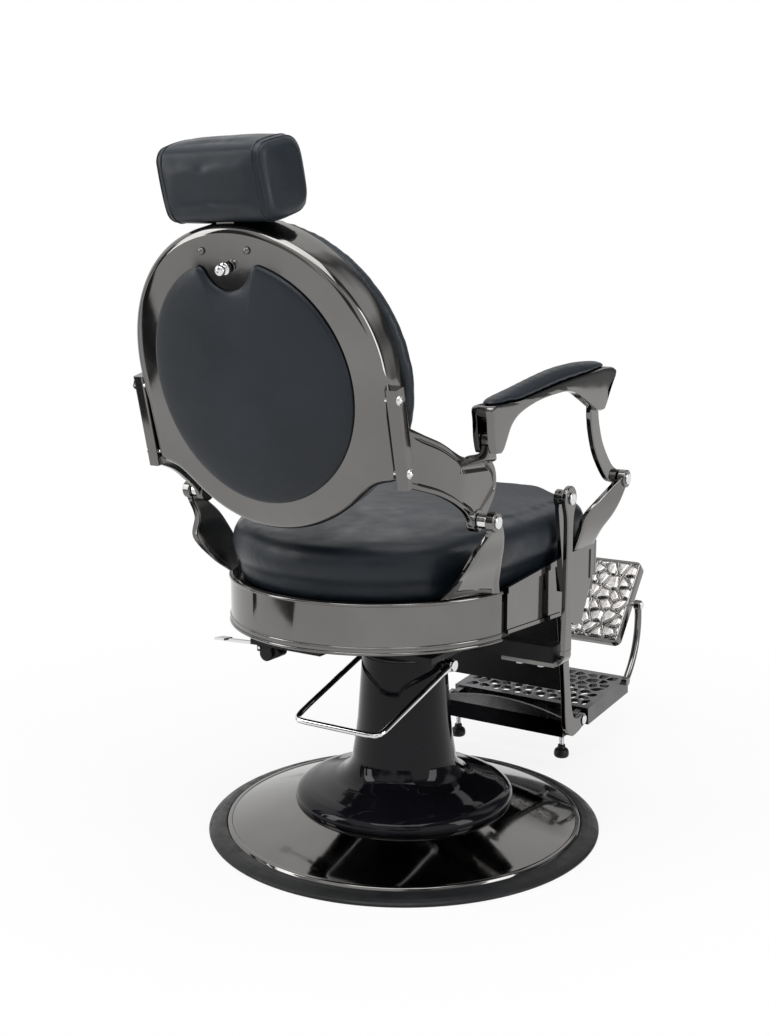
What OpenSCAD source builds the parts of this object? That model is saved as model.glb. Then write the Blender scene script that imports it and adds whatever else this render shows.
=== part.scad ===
// Hydraulic barber chair with a round tilting seat, a reclining disc back, linked arms and a leg rest.
// The chair faces -Y. The origin lies on the column's axis, on the floor.

/* [Base and pump] */
// Outer diameter of the rubber floor ring
floor_ring_d = 680; // [620:5:740]
// Visible width of the rubber floor ring
floor_ring_w = 32; // [28:0.5:36]
// Height of the rubber floor ring at its inner edge
floor_ring_h = 14; // [13:0.5:18]
// Rise of the polished plate from its edge to the column skirt
plate_rise = 37; // [30:1:40]
// Thickness of the polished plate
plate_t = 6; // [4:0.5:8]
// Diameter of the foot of the painted column skirt
skirt_foot_d = 377; // [340:1:400]
// Diameter of the column skirt at its top
skirt_top_d = 146; // [142:1:152]
// Sheet thickness of the column skirt
skirt_t = 3; // [2:0.5:3]
// Height of the column skirt above the floor
skirt_top_z = 306; // [300:2:340]
// Diameter of the lifting piston rod
piston_d = 64; // [50:1:68]
// Outer diameter of the pump cylinder
cylinder_d = 104; // [98:1:110]
// Diameter of the seat's swivel spigot
spigot_d = 44; // [36:1:48]
// Diameter of the pump lever's rod
lever_rod_d = 10; // [8:0.5:11]
// Reach of the pump lever behind its pivot
lever_reach = 220; // [190:5:250]
// Half the distance between the pump lever's two arms
lever_half_w = 85.5; // [84:0.5:92]

/* [Seat] */
// Radius of the round seat ring
ring_r = 249; // [235:1:260]
// Height of the seat ring's band
ring_h = 81; // [70:1:90]
// Sheet thickness of the ring, the side panels and the apron
band_t = 3.5; // [2.5:0.5:4]
// Distance of the ring's centre behind the column's axis
ring_y = 71; // [60:1:85]
// Height of the ring's lower edge above the top of the column skirt
seat_lift_gap = 80; // [78:1:95]
// Width of the slot between the ring and each side panel
panel_slot = 13; // [8:1:18]
// Thickness of the plywood seat board
board_t = 12; // [9:1:14]
// Height of the seat cushion above its board
cushion_h = 114; // [100:1:118]
// Thickness of the yoke's side bars
yoke_t = 9; // [7:0.5:11]
// Diameter of the pins that carry the seat in the yoke
seat_pin_d = 14; // [12:0.5:16]
// Diameter of the pins of the back, the struts and the arms
link_pin_d = 14; // [12:0.5:15]
// Distance from the middle of the chair to the inner face of each link bracket's boss
link_x = 279; // [279:0.5:284]

/* [Back] */
// Backward lean of the back
back_lean = 14.7; // [10:0.1:20]
// Radius of the round back shell
shell_r = 220; // [212:1:226]
// Depth of the back shell
shell_depth = 60; // [50:1:66]
// Radius of the shell's rear face, curved across the back
rear_curve_r = 1700; // [1400:50:2600]
// Sheet thickness of the back shell
shell_t = 3; // [2:0.5:4]
// Half the height of the upholstered rear panel
rear_panel_r = 180; // [170:0.5:184]
// Thickness of the upholstered rear panel
rear_panel_t = 8; // [5:0.5:10]
// Thickness of the back cushion
back_cushion_t = 38; // [30:1:42]
// Length of the headrest cushion
headrest_l = 178; // [166:2:200]
// Height of the headrest cushion
headrest_h = 102; // [90:1:112]
// Depth of the headrest cushion
headrest_depth = 95; // [80:1:100]
// Width of the headrest's sliding bar
post_w = 30; // [24:1:34]
// Thickness of the headrest's sliding bar
post_t = 10; // [8:0.5:12]

/* [Arms] */
// Width of the armrest casting
arm_w = 35; // [33:1:38]
// Thickness of the arm pad
arm_pad_t = 18; // [12:1:24]
// Thickness of the front strut
strut_t = 10; // [9:0.5:11]
// Width of the front strut
strut_w = 28; // [24:1:30]

/* [Leg rest] */
// Half the distance between the inner faces of the leg bars
leg_half_w = 139; // [139:1:144]
// Thickness of the leg bars
leg_bar_t = 10; // [8:0.5:12]
// Width of the leg bars
leg_bar_w = 25; // [20:1:28]
// Length of the foot platform from front to back
platform_l = 195; // [170:5:215]
// Half the width of the foot platform
platform_half_w = 150; // [142:1:151]
// Depth of the foot platform's rim
platform_h = 34; // [28:1:38]
// Thickness of the pierced platform plate
platform_t = 7; // [5:0.5:9]
// Toe-up tilt of the foot platform
platform_tilt = 4.3; // [2:0.1:7]
// Width of the webs between the pierced cells
web_w = 5; // [4:0.5:8]
// Length of the flip plate
flip_l = 190; // [170:2:194]
// Thickness of the flip plate
flip_t = 20; // [16:1:24]
// Height of the raised pebbles on the flip plate
pebble_h = 3; // [1.5:0.5:4]
// Thickness of the calf pad
calf_pad_t = 38; // [25:1:45]
// Diameter of the rubber feet under the platform
foot_d = 29; // [24:1:34]

/* [Hidden] */
$fn = 72;

// Clearances: a running fit on the radius, a soft piece beside its neighbour, a bolt in its hole
run_gap = 0.05;
soft_gap = 0.3;
bolt_gap = 0.2;

gunmetal = "dimgray";
leather = "#23262b";

// Base levels and radii
floor_ring_r = floor_ring_d / 2;
plate_r = floor_ring_r - floor_ring_w;
plate_seat_z = 5;
plate_edge_z = floor_ring_h - 1;
plate_lip = 4;
hub_pad_r = 186;
skirt_foot_r = skirt_foot_d / 2;
skirt_top_r = skirt_top_d / 2;
skirt_neck_r = skirt_top_r + 16;
piston_r = piston_d / 2;
bore_r = cylinder_d / 2 - 12;
cylinder_flange_r = 110;
cylinder_flange_t = 10;
bolt_ring_r = 95;
bolt_r = 5;
head_h = 30;
head_top_z = skirt_top_z + 2;
lever_pivot = [-12, skirt_top_z - 13];
lever_pin_r = 6;
lever_drop = 0.29;
eye_w = 11;
washer_t = 5;
washer_z = skirt_top_z + 10;

// The seat's datum is the ring's lower edge: points [y, z] of the upper parts count from it
seat_z = skirt_top_z + seat_lift_gap;
seat_pivot = [-72, 202];
back_pivot = [213, 208];
arm_pivot = [243, 332];
strut_pivot = [-215, 220];
strut_top = [-107, 356];
leg_pivot = [-305, -6];

// Yoke and chassis, from the seat's datum
beam_z = 7 - seat_lift_gap;
beam_h = 27;
beam_w = 40;
hub_z = 10 + washer_t - seat_lift_gap;
hub_r = spigot_d / 2 + 22;
hub_h = 39;
yoke_x = ring_r + 17;
yoke_foot = 106;
yoke_flange_t = 8;

// Seat ring and pan
ring_inner_r = ring_r - band_t;
bead_r = 2.5;
pan_z = 57;
pan_t = 4;
board_z = pan_z + pan_t;
cushion_z = board_z + board_t + soft_gap;
ring_end_y = 109;
panel_rear_y = ring_end_y - panel_slot;
panel_front_y = -219.3;
panel_top_front = 105;
apron_r = 444.5;
apron_y = -312;
apron_z = 14;
corner_r = 11;
panel_frame_t = 2;
post_boss_r = 14;

// Back frame: the origin is the back's pivot, Y points to the rear and Z up along the back
shell_w = 143;
shell_z = 243.5;
shell_stretch = 5;
shell_front_w = shell_w - shell_depth;
ear_u = shell_r - 3;
ear_low = 104;
ear_high = 240;
ear_fillet = 30;
notch_r = 45;
notch_z = shell_z + rear_panel_r;
panel_narrow = 0.953;
notch_lip_r = 14;
knob_z = 411;
screw_u = 39.5;
screw_z = 434.5;
post_y = shell_w - 18;
post_low = 290;
headrest_z = shell_z + shell_stretch + shell_r + 0.5;
headrest_rear = shell_w + 3;
guide_half_w = post_w / 2 + 9;

// Arms
arm_x = 293.5;
arm_in_x = arm_x - arm_w / 2;
lug_in_x = arm_x - 7;
lug_out_x = arm_x + 6.5;
wing_in_x = 253;
wing_t = 9;
wing_out_x = wing_in_x + wing_t;
flange_t = 19;
flange_w = shell_depth * 0.4;
leg_gap = 0.5;
strut_x = arm_x - 2.5;
strut_boss_x = strut_x + strut_t / 2 + 1.2;
open_gap = 1.8;
arm_front_pin_r = 5;
boss_r = 15;
boss_t = 14;

// Leg rest
knuckle = [-417, -292];
knuckle_r = 13;
platform_top = 16;
platform_rear = 20;
foot_pos = [116, -391];
foot_h = 22;
stem_r = 5;
beam_low = -310;
flip_pivot = [-655, -111];
flip_angle = 50.1;
flip_half_w = 142;
flip_arm_x = 156.5;
flip_tube_r = 6.5;
flip_pin_r = 5;
leg_pin_r = 6;

// Points on an arc, anticlockwise from angle a0 to a1
function arc(cx, cy, r, a0, a1, n) = [for (i = [0:n]) let (a = a0 + (a1 - a0) * i / n)
  [cx + r * cos(a), cy + r * sin(a)]];

// Height of the plate's polished top at radius r
function plate_z(r) = plate_edge_z + plate_rise * min(1, pow((plate_r - r) / (plate_r - hub_pad_r), 0.92));

// Direction and left normal of a path at point i
function unit(v) = v / norm(v);
function path_dir(c, i) = unit(c[min(i + 1, len(c) - 1)] - c[max(i - 1, 0)]);
function path_side(c, i, h) = c[i] + h * [-path_dir(c, i)[1], path_dir(c, i)[0]];

// Outline of a strip of half width h[i] along the path c
function strip(c, h) = concat(
  [for (i = [0:len(c) - 1]) path_side(c, i, -h[i])],
  [for (i = [len(c) - 1:-1:0]) path_side(c, i, h[i])]);

// Keeps the part of a convex polygon that lies behind the line through p with normal n
function clip(poly, p, n) = [for (i = [0:len(poly) - 1])
  let (a = poly[i], b = poly[(i + 1) % len(poly)], da = (a - p) * n, db = (b - p) * n)
  each concat(da <= 0 ? [a] : [], da * db < 0 ? [a + (b - a) * da / (da - db)] : [])];

// Cell round the seed c: the polygon nearer to c than to its neighbours, less half a web each way
function cell(poly, c, near, web, i = 0) = i == len(near) ? poly :
  cell(clip(poly, (c + near[i]) / 2 - web / 2 * unit(near[i] - c), near[i] - c), c, near, web, i + 1);

// Cuts each corner of a polygon by a share f of its edges
function blunt(poly, f) = [for (i = [0:len(poly) - 1])
  let (a = poly[i], b = poly[(i + len(poly) - 1) % len(poly)], d = poly[(i + 1) % len(poly)])
  each [a + (b - a) * f, a + (d - a) * f]];

// Seed of the pebble in column i and row j, moved off the grid by a fixed irregular amount
function seed(i, j, w, h, nx, ny) = [
  (i + 0.5 + (j % 2) * 0.5 - 0.25 + 0.24 * sin(137 * i + 211 * j)) * w / nx - w / 2,
  (j + 0.5 + 0.26 * sin(263 * i + 97 * j + 40)) * h / ny - h / 2];

// Irregular pebbles that fill a rectangle w by h centred on the origin
module pebbles(w, h, nx, ny, web) {
  frame = [[-w / 2, -h / 2], [w / 2, -h / 2], [w / 2, h / 2], [-w / 2, h / 2]];
  for (i = [0:nx - 1])
    for (j = [0:ny - 1]) {
      near = [for (a = [-2:2]) for (b = [-2:2]) if (a != 0 || b != 0) seed(i + a, j + b, w, h, nx, ny)];
      polygon(blunt(cell(frame, seed(i, j, w, h, nx, ny), near, web), 0.22));
    }
}

// Raises the upper parts to the seat's datum
module up() translate([0, 0, seat_z]) children();

// The left side as it is, or its mirror image on the right
module side(s) mirror([s < 0 ? 1 : 0, 0, 0]) children();
module both() for (s = [-1, 1]) side(s) children();

// A flat outline in Y and Z, extruded along X from x0 to x1
module slab_x(x0, x1) translate([x0, 0, 0]) rotate([90, 0, 90]) linear_extrude(x1 - x0) children();

// A cylinder along X from x0 to x1 through the point p = [y, z]
module bar_x(p, r, x0, x1) translate([x0, p[0], p[1]]) rotate([0, 90, 0]) cylinder(r = r, h = x1 - x0);

// A cylinder along Y, from y0 to y1, at [x, z]
module bar_y(x, z, r, y0, y1) translate([x, y1, z]) rotate([90, 0, 0]) cylinder(r = r, h = y1 - y0);

// A round rod between two points, run on past the second by a length e
module rod(a, b, r, e) {
  d = b - a;
  translate(a) rotate([0, acos(d[2] / norm(d)), atan2(d[1], d[0])]) cylinder(r = r, h = norm(d) + e);
}

// The back's own frame
module in_back() up() translate([0, back_pivot[0], back_pivot[1]]) rotate([-back_lean, 0, 0]) children();

// ---------------------------------------------------------------- base, pump and lever

module base_ring() color("#1b1c1e") rotate_extrude() polygon([
  [plate_r - 12, 0], [floor_ring_r - 1, 0], [floor_ring_r, 1], [floor_ring_r, 3.5], [floor_ring_r - 3, 6],
  [floor_ring_r - 10, 9.5], [floor_ring_r - 19, floor_ring_h - 1.5], [plate_r + 3, floor_ring_h],
  [plate_r + soft_gap, plate_edge_z], [plate_r + plate_lip + soft_gap, plate_edge_z - plate_lip],
  [plate_r + plate_lip + soft_gap, plate_seat_z], [plate_r - 12, plate_seat_z]]);

module base_plate() color(gunmetal) difference() {
  rotate_extrude() polygon(concat(
    [[0, plate_z(0) - plate_t]],
    [for (i = [0:8]) let (r = hub_pad_r + (plate_r - 14 - hub_pad_r) * i / 8) [r, plate_z(r) - plate_t]],
    [[plate_r - 11, plate_seat_z], [plate_r + plate_lip, plate_seat_z],
     [plate_r + plate_lip, plate_edge_z - plate_lip]],
    [for (i = [10:-1:0]) let (r = hub_pad_r + (plate_r - hub_pad_r) * i / 10) [r, plate_z(r)]],
    [[0, plate_z(0)]]));
  base_bolt_places() translate([0, 0, -plate_t - 1]) cylinder(r = bolt_r + bolt_gap, h = plate_t + 2);
}

// The places of the six pump bolts, on the top of the plate
module base_bolt_places() for (i = [0:5]) rotate(i * 60 + 30) translate([bolt_ring_r, 0, plate_z(0)]) children();

// Outer line of the skirt, from its foot to its top
function skirt_line() = let (z = plate_z(0)) concat(
  [[skirt_foot_r, z], [skirt_foot_r + 1, z + 5], [skirt_foot_r + 0.6, z + 11], [skirt_foot_r - 3.5, z + 18],
   [skirt_foot_r - 12, z + 23.5], [skirt_foot_r - 25, z + 28], [skirt_foot_r - 42, z + 32]],
  arc(skirt_neck_r + 46, z + 83, 46, 262, 180, 10),
  [[skirt_top_r + 5.4, skirt_top_z - 86], [skirt_top_r + 3.9, skirt_top_z - 50], [skirt_top_r, skirt_top_z]]);

module skirt_solid(t) {
  line = [for (p = skirt_line()) [p[0] - t, p[1] - t]];
  rotate_extrude() polygon(concat([[0, line[0][1] - 3 * t]], [[line[0][0], line[0][1] - 3 * t]], line,
    [[skirt_top_r - t, skirt_top_z + t], [0, skirt_top_z + t]]));
}

module column_skirt() color("#0c0d10") difference() {
  intersection() {
    skirt_solid(0);
    translate([0, 0, plate_z(0)]) cylinder(r = skirt_foot_r + 1, h = skirt_top_z - plate_z(0));
  }
  skirt_solid(skirt_t);
  both() bar_x(lever_pivot, lever_pin_r + 2, skirt_top_r - 20, skirt_top_r + 20);
}

module pump_cylinder() color("#8d9096") difference() {
  union() {
    translate([0, 0, plate_z(0)]) cylinder(r = cylinder_d / 2, h = skirt_top_z - 28 - plate_z(0));
    translate([0, 0, plate_z(0)]) cylinder(r = cylinder_flange_r, h = cylinder_flange_t);
  }
  translate([0, 0, plate_z(0) + 18]) cylinder(r = bore_r + run_gap, h = skirt_top_z);
  base_bolt_places() translate([0, 0, -1]) cylinder(r = bolt_r + bolt_gap, h = cylinder_flange_t + 2);
}

module base_bolts() color("silver") base_bolt_places() {
  translate([0, 0, cylinder_flange_t]) cylinder(r = bolt_r * 1.7, h = 6, $fn = 6);
  translate([0, 0, -plate_t]) cylinder(r = bolt_r, h = plate_t + cylinder_flange_t + 1);
}

module pump_head() color("#4a4c50") difference() {
  translate([0, 0, head_top_z - head_h]) cylinder(r = skirt_top_r - skirt_t - soft_gap, h = head_h);
  translate([0, 0, head_top_z - head_h - 1]) cylinder(r = piston_r + run_gap, h = head_h + 2);
  both() bar_x(lever_pivot, lever_pin_r + run_gap, skirt_top_r - 22, skirt_top_r + 5);
}

module lever_pins() color("silver") both() {
  bar_x(lever_pivot, lever_pin_r, skirt_top_r - 21, lever_half_w + eye_w / 2 + 1);
  bar_x(lever_pivot, lever_pin_r + 4, lever_half_w + eye_w / 2 + 0.5, lever_half_w + eye_w / 2 + 4);
}

// Points of one arm of the pump lever, from its pivot to the corner of the crossbar
function lever_points() = [for (p = [[lever_half_w, 0.018], [lever_half_w - 2, 0.92], [lever_half_w - 17, 1]])
  [p[0], lever_pivot[0] + lever_reach * p[1], lever_pivot[1] - lever_reach * lever_drop * p[1]]];

module pump_lever() color("gainsboro") difference() {
  r = lever_rod_d / 2;
  points = lever_points();
  union() {
    both() {
      bar_x(lever_pivot, lever_pin_r + 5, lever_half_w - eye_w / 2, lever_half_w + eye_w / 2);
      rod(points[0], points[1], r, 3);
      rod(points[1], points[2], r - 0.15, 2.5);
    }
    bar_x([points[2][1], points[2][2]], r - 0.3, -points[2][0] - 3, points[2][0] + 3);
  }
  both() bar_x(lever_pivot, lever_pin_r + run_gap, lever_half_w - eye_w, lever_half_w + eye_w);
}

module piston() color("silver") {
  translate([0, 0, plate_z(0) + 20]) cylinder(r = bore_r, h = 20);
  translate([0, 0, plate_z(0) + 20]) cylinder(r = piston_r, h = washer_z - plate_z(0) - 20);
  translate([0, 0, washer_z - 1]) cylinder(r = spigot_d / 2, h = washer_t + hub_h + 1);
}

module thrust_washer() color("#b5a35a") translate([0, 0, washer_z]) difference() {
  cylinder(r = spigot_d / 2 + 10, h = washer_t);
  translate([0, 0, -1]) cylinder(r = spigot_d / 2 + soft_gap, h = washer_t + 2);
}

// ---------------------------------------------------------------- chassis and yoke

module chassis() color("#17181b") up() difference() {
  union() {
    translate([0, 0, hub_z]) cylinder(r = hub_r, h = hub_h);
    translate([-120, seat_pivot[0] - beam_w / 2, beam_z + beam_h - 12]) cube([240, 200, 10]);
    translate([-yoke_x + 9, seat_pivot[0] - beam_w / 2, beam_z]) cube([2 * yoke_x - 18, beam_w, beam_h]);
    translate([60, 100, beam_z + beam_h - 12]) cube([145, 65, 10]);
  }
  translate([0, 0, hub_z - 1]) cylinder(r = spigot_d / 2 + run_gap, h = hub_h + 2);
  yoke_bolt_places() translate([0, 0, -1]) cylinder(r = 4 + bolt_gap, h = 18);
}

// The places of the yoke's bolts, on the underside of the beam
module yoke_bolt_places() for (s = [-1, 1]) for (x = [40, 80])
  translate([s * (yoke_x - x), seat_pivot[0], beam_z]) children();

module yoke_bolts() color("silver") up() yoke_bolt_places() {
  translate([0, 0, -yoke_flange_t - 6]) cylinder(r = 7, h = 6, $fn = 6);
  translate([0, 0, -yoke_flange_t - 1]) cylinder(r = 4, h = yoke_flange_t + 16);
}

module yoke_arm(s) color(gunmetal) side(s) up() difference() {
  x0 = yoke_x;
  x1 = yoke_x + yoke_t;
  low = beam_z - yoke_flange_t;
  bend = 18;
  intersection() {
    translate([0, seat_pivot[0] + 40, 0]) rotate([90, 0, 0]) linear_extrude(80) polygon(concat(
      [[x0 - yoke_foot, low]], arc(x1 - bend, low + bend, bend, -90, 0, 8),
      [[x1, seat_pivot[1] + 30], [x0, seat_pivot[1] + 30]],
      arc(x0 - 8, beam_z + 8, 8, 0, -90, 6), [[x0 - yoke_foot, beam_z]]));
    slab_x(x0 - yoke_foot - 1, x1 + 1) translate([seat_pivot[0], 0]) {
      translate([0, seat_pivot[1]]) circle(r = seat_pin_d / 2 + 14);
      polygon([[-12, seat_pivot[1] - 14], [-10, seat_pivot[1] - 65], [-11, 60], [-13, -20], [-15, beam_z + 14],
        [-beam_w / 2, beam_z + 4], [-beam_w / 2, low - 1], [beam_w / 2, low - 1], [beam_w / 2, beam_z + 4],
        [15, beam_z + 14], [13, -20], [11, 60], [10, seat_pivot[1] - 65], [12, seat_pivot[1] - 14]]);
    }
  }
  bar_x(seat_pivot, seat_pin_d / 2 + run_gap, x0 - 5, x1 + 5);
  for (x = [40, 80]) translate([x0 - x, seat_pivot[0], low - 1]) cylinder(r = 4 + bolt_gap, h = yoke_flange_t + 2);
}

module seat_pivot_pins() color("silver") up() both() {
  bar_x(seat_pivot, seat_pin_d / 2, ring_r + 2, yoke_x + yoke_t + 1);
  bar_x(seat_pivot, seat_pin_d / 2 + 3, yoke_x + yoke_t + soft_gap, yoke_x + yoke_t + 4);
}

// The recline lock hangs under the chassis at the rear left
lock_x = 175;
lock_y = 133;
lock_top = beam_z + beam_h - 12;
lever_z = lock_top - 8;
lock_pin_r = 2.5;

module lock_housing() color("#17181b") up() difference() {
  union() {
    translate([lock_x - 4, lock_y - 20, lock_top - 14]) cube([32, 40, 14]);
    bar_y(lock_x + 10, lock_top - 18, 13, lock_y - 18, lock_y + 18);
    bar_y(lock_x - 6, lock_top - 15, 9, lock_y - 12, lock_y + 12);
  }
  translate([lock_x + 16, lock_y - 5.4, lock_top - 16]) cube([13, 10.8, 15]);
  bar_y(lock_x + 21, lever_z, lock_pin_r + run_gap, lock_y - 25, lock_y + 25);
}

module recline_lever() color("gainsboro") up() {
  c = [lock_x + 140, lock_y - 42, lever_z - 16];
  translate([lock_x + 18.2, lock_y - 5, lever_z - 4.6]) cube([14, 10, 9.2]);
  translate([lock_x + 30, lock_y - 3, lever_z]) rotate([0, 8.5, -19.5]) translate([0, -4, -2.5]) cube([122, 8, 5]);
  translate(c) rotate([0, 8.5, -19.5]) translate([0, -9, -2]) cube([34, 18, 4]);
  bar_y(lock_x + 21, lever_z, lock_pin_r, lock_y - 21, lock_y + 21);
}

// ---------------------------------------------------------------- seat

// Plan outline of the seat, drawn in by d
module seat_outline(d) {
  translate([0, ring_y]) circle(r = ring_r - d);
  translate([-ring_r + d, panel_front_y + 5]) square([2 * (ring_r - d), ring_y - panel_front_y - 5]);
  intersection() {
    translate([0, apron_y + apron_r]) circle(r = apron_r - d);
    translate([-ring_r + 26, apron_y]) square([2 * ring_r - 52, panel_front_y - apron_y + 6]);
  }
}

module seat_ring() color(gunmetal) up() translate([0, ring_y, 0]) {
  open = asin((ring_end_y - ring_y) / ring_r);
  rotate([0, 0, open]) rotate_extrude(angle = 180 - 2 * open) polygon(concat(
    [[ring_inner_r, 0], [ring_r - 1, 0]],
    arc(ring_r, bead_r, bead_r, -90, 90, 8),
    arc(ring_r, 4.6 * bead_r, bead_r * 0.8, -90, 90, 8),
    arc(ring_r, ring_h - bead_r, bead_r, -90, 90, 8),
    [[ring_inner_r, ring_h]]));
}

// Side view of a side panel: the top rises to the front and the front lower corner is cut away
function panel_outline() = [
  [panel_rear_y, ring_h + 3], [-98, panel_top_front - 6], [panel_front_y, panel_top_front],
  [panel_front_y, 47], [-176, -31], [-150, -30], [-92, -1], [panel_rear_y, 10]];

module side_panel(s) color(gunmetal) side(s) up() {
  slab_x(ring_inner_r + 0.2, ring_r + 0.2) polygon(panel_outline());
  // Raised rail along the top and stile down the front
  slab_x(ring_r + 0.2, ring_r + 0.2 + panel_frame_t) {
    polygon([[panel_rear_y, ring_h + 3], [-98, panel_top_front - 6], [panel_front_y, panel_top_front],
      [panel_front_y, panel_top_front - 10], [-98, panel_top_front - 16], [panel_rear_y, ring_h - 7]]);
    polygon([[panel_front_y, panel_top_front], [panel_front_y, 47], [panel_front_y + 13, 42],
      [panel_front_y + 13, panel_top_front]]);
    polygon([[panel_rear_y, 16], [-92, 5], [-150, -24], [-176, -31], [-150, -30], [-92, -1], [panel_rear_y, 10]]);
  }
  // Upright that holds the seat's pivot pin
  difference() {
    slab_x(ring_r + 0.2, ring_r + 7) translate([seat_pivot[0], 0]) {
      translate([0, seat_pivot[1]]) circle(r = post_boss_r);
      polygon([[-44, 40], [-20, 40], [10, seat_pivot[1] - 4], [-10, seat_pivot[1] - 4]]);
    }
    bar_x(seat_pivot, seat_pin_d / 2, ring_r - 1, ring_r + 20);
  }
  difference() {
    bar_x(seat_pivot, post_boss_r - 3, ring_r + 7, yoke_x - 1);
    bar_x(seat_pivot, seat_pin_d / 2, ring_r + 2, yoke_x + 5);
  }
}

module front_apron() color(gunmetal) up() {
  edge_x = ring_r + 0.2 - corner_r;
  edge_y = panel_front_y - corner_r - 0.2;
  half_angle = asin(edge_x / apron_r);
  translate([0, apron_y + apron_r, apron_z]) rotate([0, 0, -90 - half_angle]) rotate_extrude(angle = 2 * half_angle)
    translate([apron_r - band_t, 0]) square([band_t, panel_top_front - apron_z]);
  both() translate([edge_x, edge_y, apron_z + 33]) cylinder(r = corner_r, h = panel_top_front - apron_z - 33);
}

module seat_pan() color("#17181b") up() {
  translate([0, 0, pan_z]) linear_extrude(pan_t) seat_outline(band_t + soft_gap);
  // Dark liner behind each slot
  intersection() {
    both() translate([ring_r - 16, panel_rear_y - 16, 4]) cube([16, panel_slot + 34, board_z - 4]);
    linear_extrude(board_z) seat_outline(band_t + soft_gap);
  }
  // Two rails and two cross bars
  both() translate([leg_half_w - 11, -250, pan_z - 26]) cube([12, 440, 26]);
  for (y = [-235, 175]) translate([-leg_half_w + 5, y, pan_z - 20]) cube([2 * leg_half_w - 10, 14, 20]);
  // Lugs of the leg rest's pivots
  both() difference() {
    slab_x(leg_half_w - 11, leg_half_w - 0.4) {
      translate(leg_pivot) circle(r = 15);
      polygon([[-238, pan_z], [-284, pan_z], [-284, apron_z - 1], leg_pivot + [-8, 12.6], leg_pivot + [5, -14.1],
        [-238, 20]]);
    }
    bar_x(leg_pivot, leg_pin_r, leg_half_w - 20, leg_half_w + 5);
  }
}

module leg_pivot_pins() color("silver") up() both() {
  bar_x(leg_pivot, leg_pin_r, leg_half_w - 12, leg_half_w + leg_bar_t + 1);
  bar_x(leg_pivot, leg_pin_r + 4, leg_half_w + leg_bar_t + soft_gap, leg_half_w + leg_bar_t + 4);
}

module seat_board() color("#2e2a26") up() translate([0, 0, board_z]) linear_extrude(board_t) seat_outline(17);

// Plan slice of the cushion, drawn in by d at the sides and by f at the front, and cut off behind y_max
module cushion_slice(z, d, f, y_max = 400) translate([0, 0, cushion_z + z]) linear_extrude(0.5) intersection() {
  union() {
    translate([0, ring_y]) circle(r = ring_r - 3 - d, $fn = 64);
    for (s = [-1, 1]) {
      translate([s * (ring_r - 43), panel_front_y + 36 + f]) circle(r = 40 - d, $fn = 32);
      translate([s * 105, apron_y + 40 + f]) circle(r = 40 - d, $fn = 32);
    }
    translate([0, apron_y + 27 + f]) circle(r = 40 - d, $fn = 32);
  }
  translate([-300, -400]) square([600, y_max + 400]);
}

module seat_cushion() color(leather) up() {
  rim = panel_top_front - ring_h + 7;
  // Tucked lower part inside the frame, then the bulging upper part
  hull() {
    cushion_slice(0, 11, 20);
    cushion_slice(rim, 11, 20);
  }
  hull() {
    cushion_slice(rim, 11, 20);
    cushion_slice(rim + 12, 0, 0);
    cushion_slice(72, 0, 0);
    cushion_slice(cushion_h - 24, 11, 2);
    cushion_slice(cushion_h - 9, 22, 10, 162);
    cushion_slice(cushion_h, 38, 30, 112);
  }
}

// Rear bracket: a fan from its foot on the ring up to the back's pivot
module rear_bracket(s) color(gunmetal) side(s) up() difference() {
  union() {
    hull() {
      bracket_foot(12, 37);
      bracket_low();
    }
    hull() {
      bracket_low();
      bracket_high();
    }
    hull() {
      bracket_high();
      bar_x(back_pivot, boss_r, link_x, link_x + boss_t, $fn = 32);
    }
    bar_x(back_pivot, boss_r, link_x, link_x + boss_t);
  }
  bar_x(back_pivot, link_pin_d / 2, link_x - 20, link_x + boss_t + 5);
  bar_x(back_pivot, boss_r + 2, link_x - 20, link_x);
}

// Sections of a rear bracket's blade, a third and two thirds of the way up
module bracket_low() translate([link_x - 21, back_pivot[0] - 66, ring_h + 54]) cube([11, 98, 4]);
module bracket_high() translate([link_x - 9, back_pivot[0] - 41, ring_h + 86]) cube([12, 54, 4]);

// Foot of a rear bracket on the ring's top edge, between two angles of the ring
module bracket_foot(a0, a1) translate([0, ring_y, ring_h]) rotate([0, 0, a0])
  rotate_extrude(angle = a1 - a0, $fn = 96) translate([ring_r - 5, 0]) square([6, 8]);

// Front bracket: from its foot on the side panel forward and up to the strut's pivot
module front_bracket(s) color(gunmetal) side(s) up() difference() {
  top_x = strut_boss_x;
  mid_x = (ring_r + top_x) / 2 + 8;
  union() {
    hull() {
      translate([ring_r - 2.5, panel_front_y + 10, panel_top_front]) cube([9.5, 78, 8]);
      translate([mid_x, strut_pivot[0] + 18, strut_pivot[1] - 56]) cube([11, 68, 8]);
    }
    hull() {
      translate([mid_x, strut_pivot[0] + 18, strut_pivot[1] - 56]) cube([11, 68, 8]);
      bar_x(strut_pivot, boss_r, top_x, top_x + boss_t, $fn = 32);
    }
    bar_x(strut_pivot, boss_r, top_x, top_x + boss_t);
  }
  bar_x(strut_pivot, link_pin_d / 2, top_x - 20, top_x + boss_t + 5);
  // Seat of the strut's eye
  bar_x(strut_pivot, 3 * boss_r, top_x - 20, top_x - 0.6);
}

// Pins of the back and of the struts, each pressed into its bracket's boss
module bracket_pins() color("silver") up() both() {
  bar_x(back_pivot, link_pin_d / 2, wing_in_x - 3, link_x + boss_t + 2);
  bar_x(back_pivot, link_pin_d / 2 + 4, wing_out_x + soft_gap, link_x - 0.2);
  bar_x(strut_pivot, link_pin_d / 2, strut_x - strut_t / 2 - 4, strut_boss_x + boss_t + 2);
}

// ---------------------------------------------------------------- back

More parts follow.
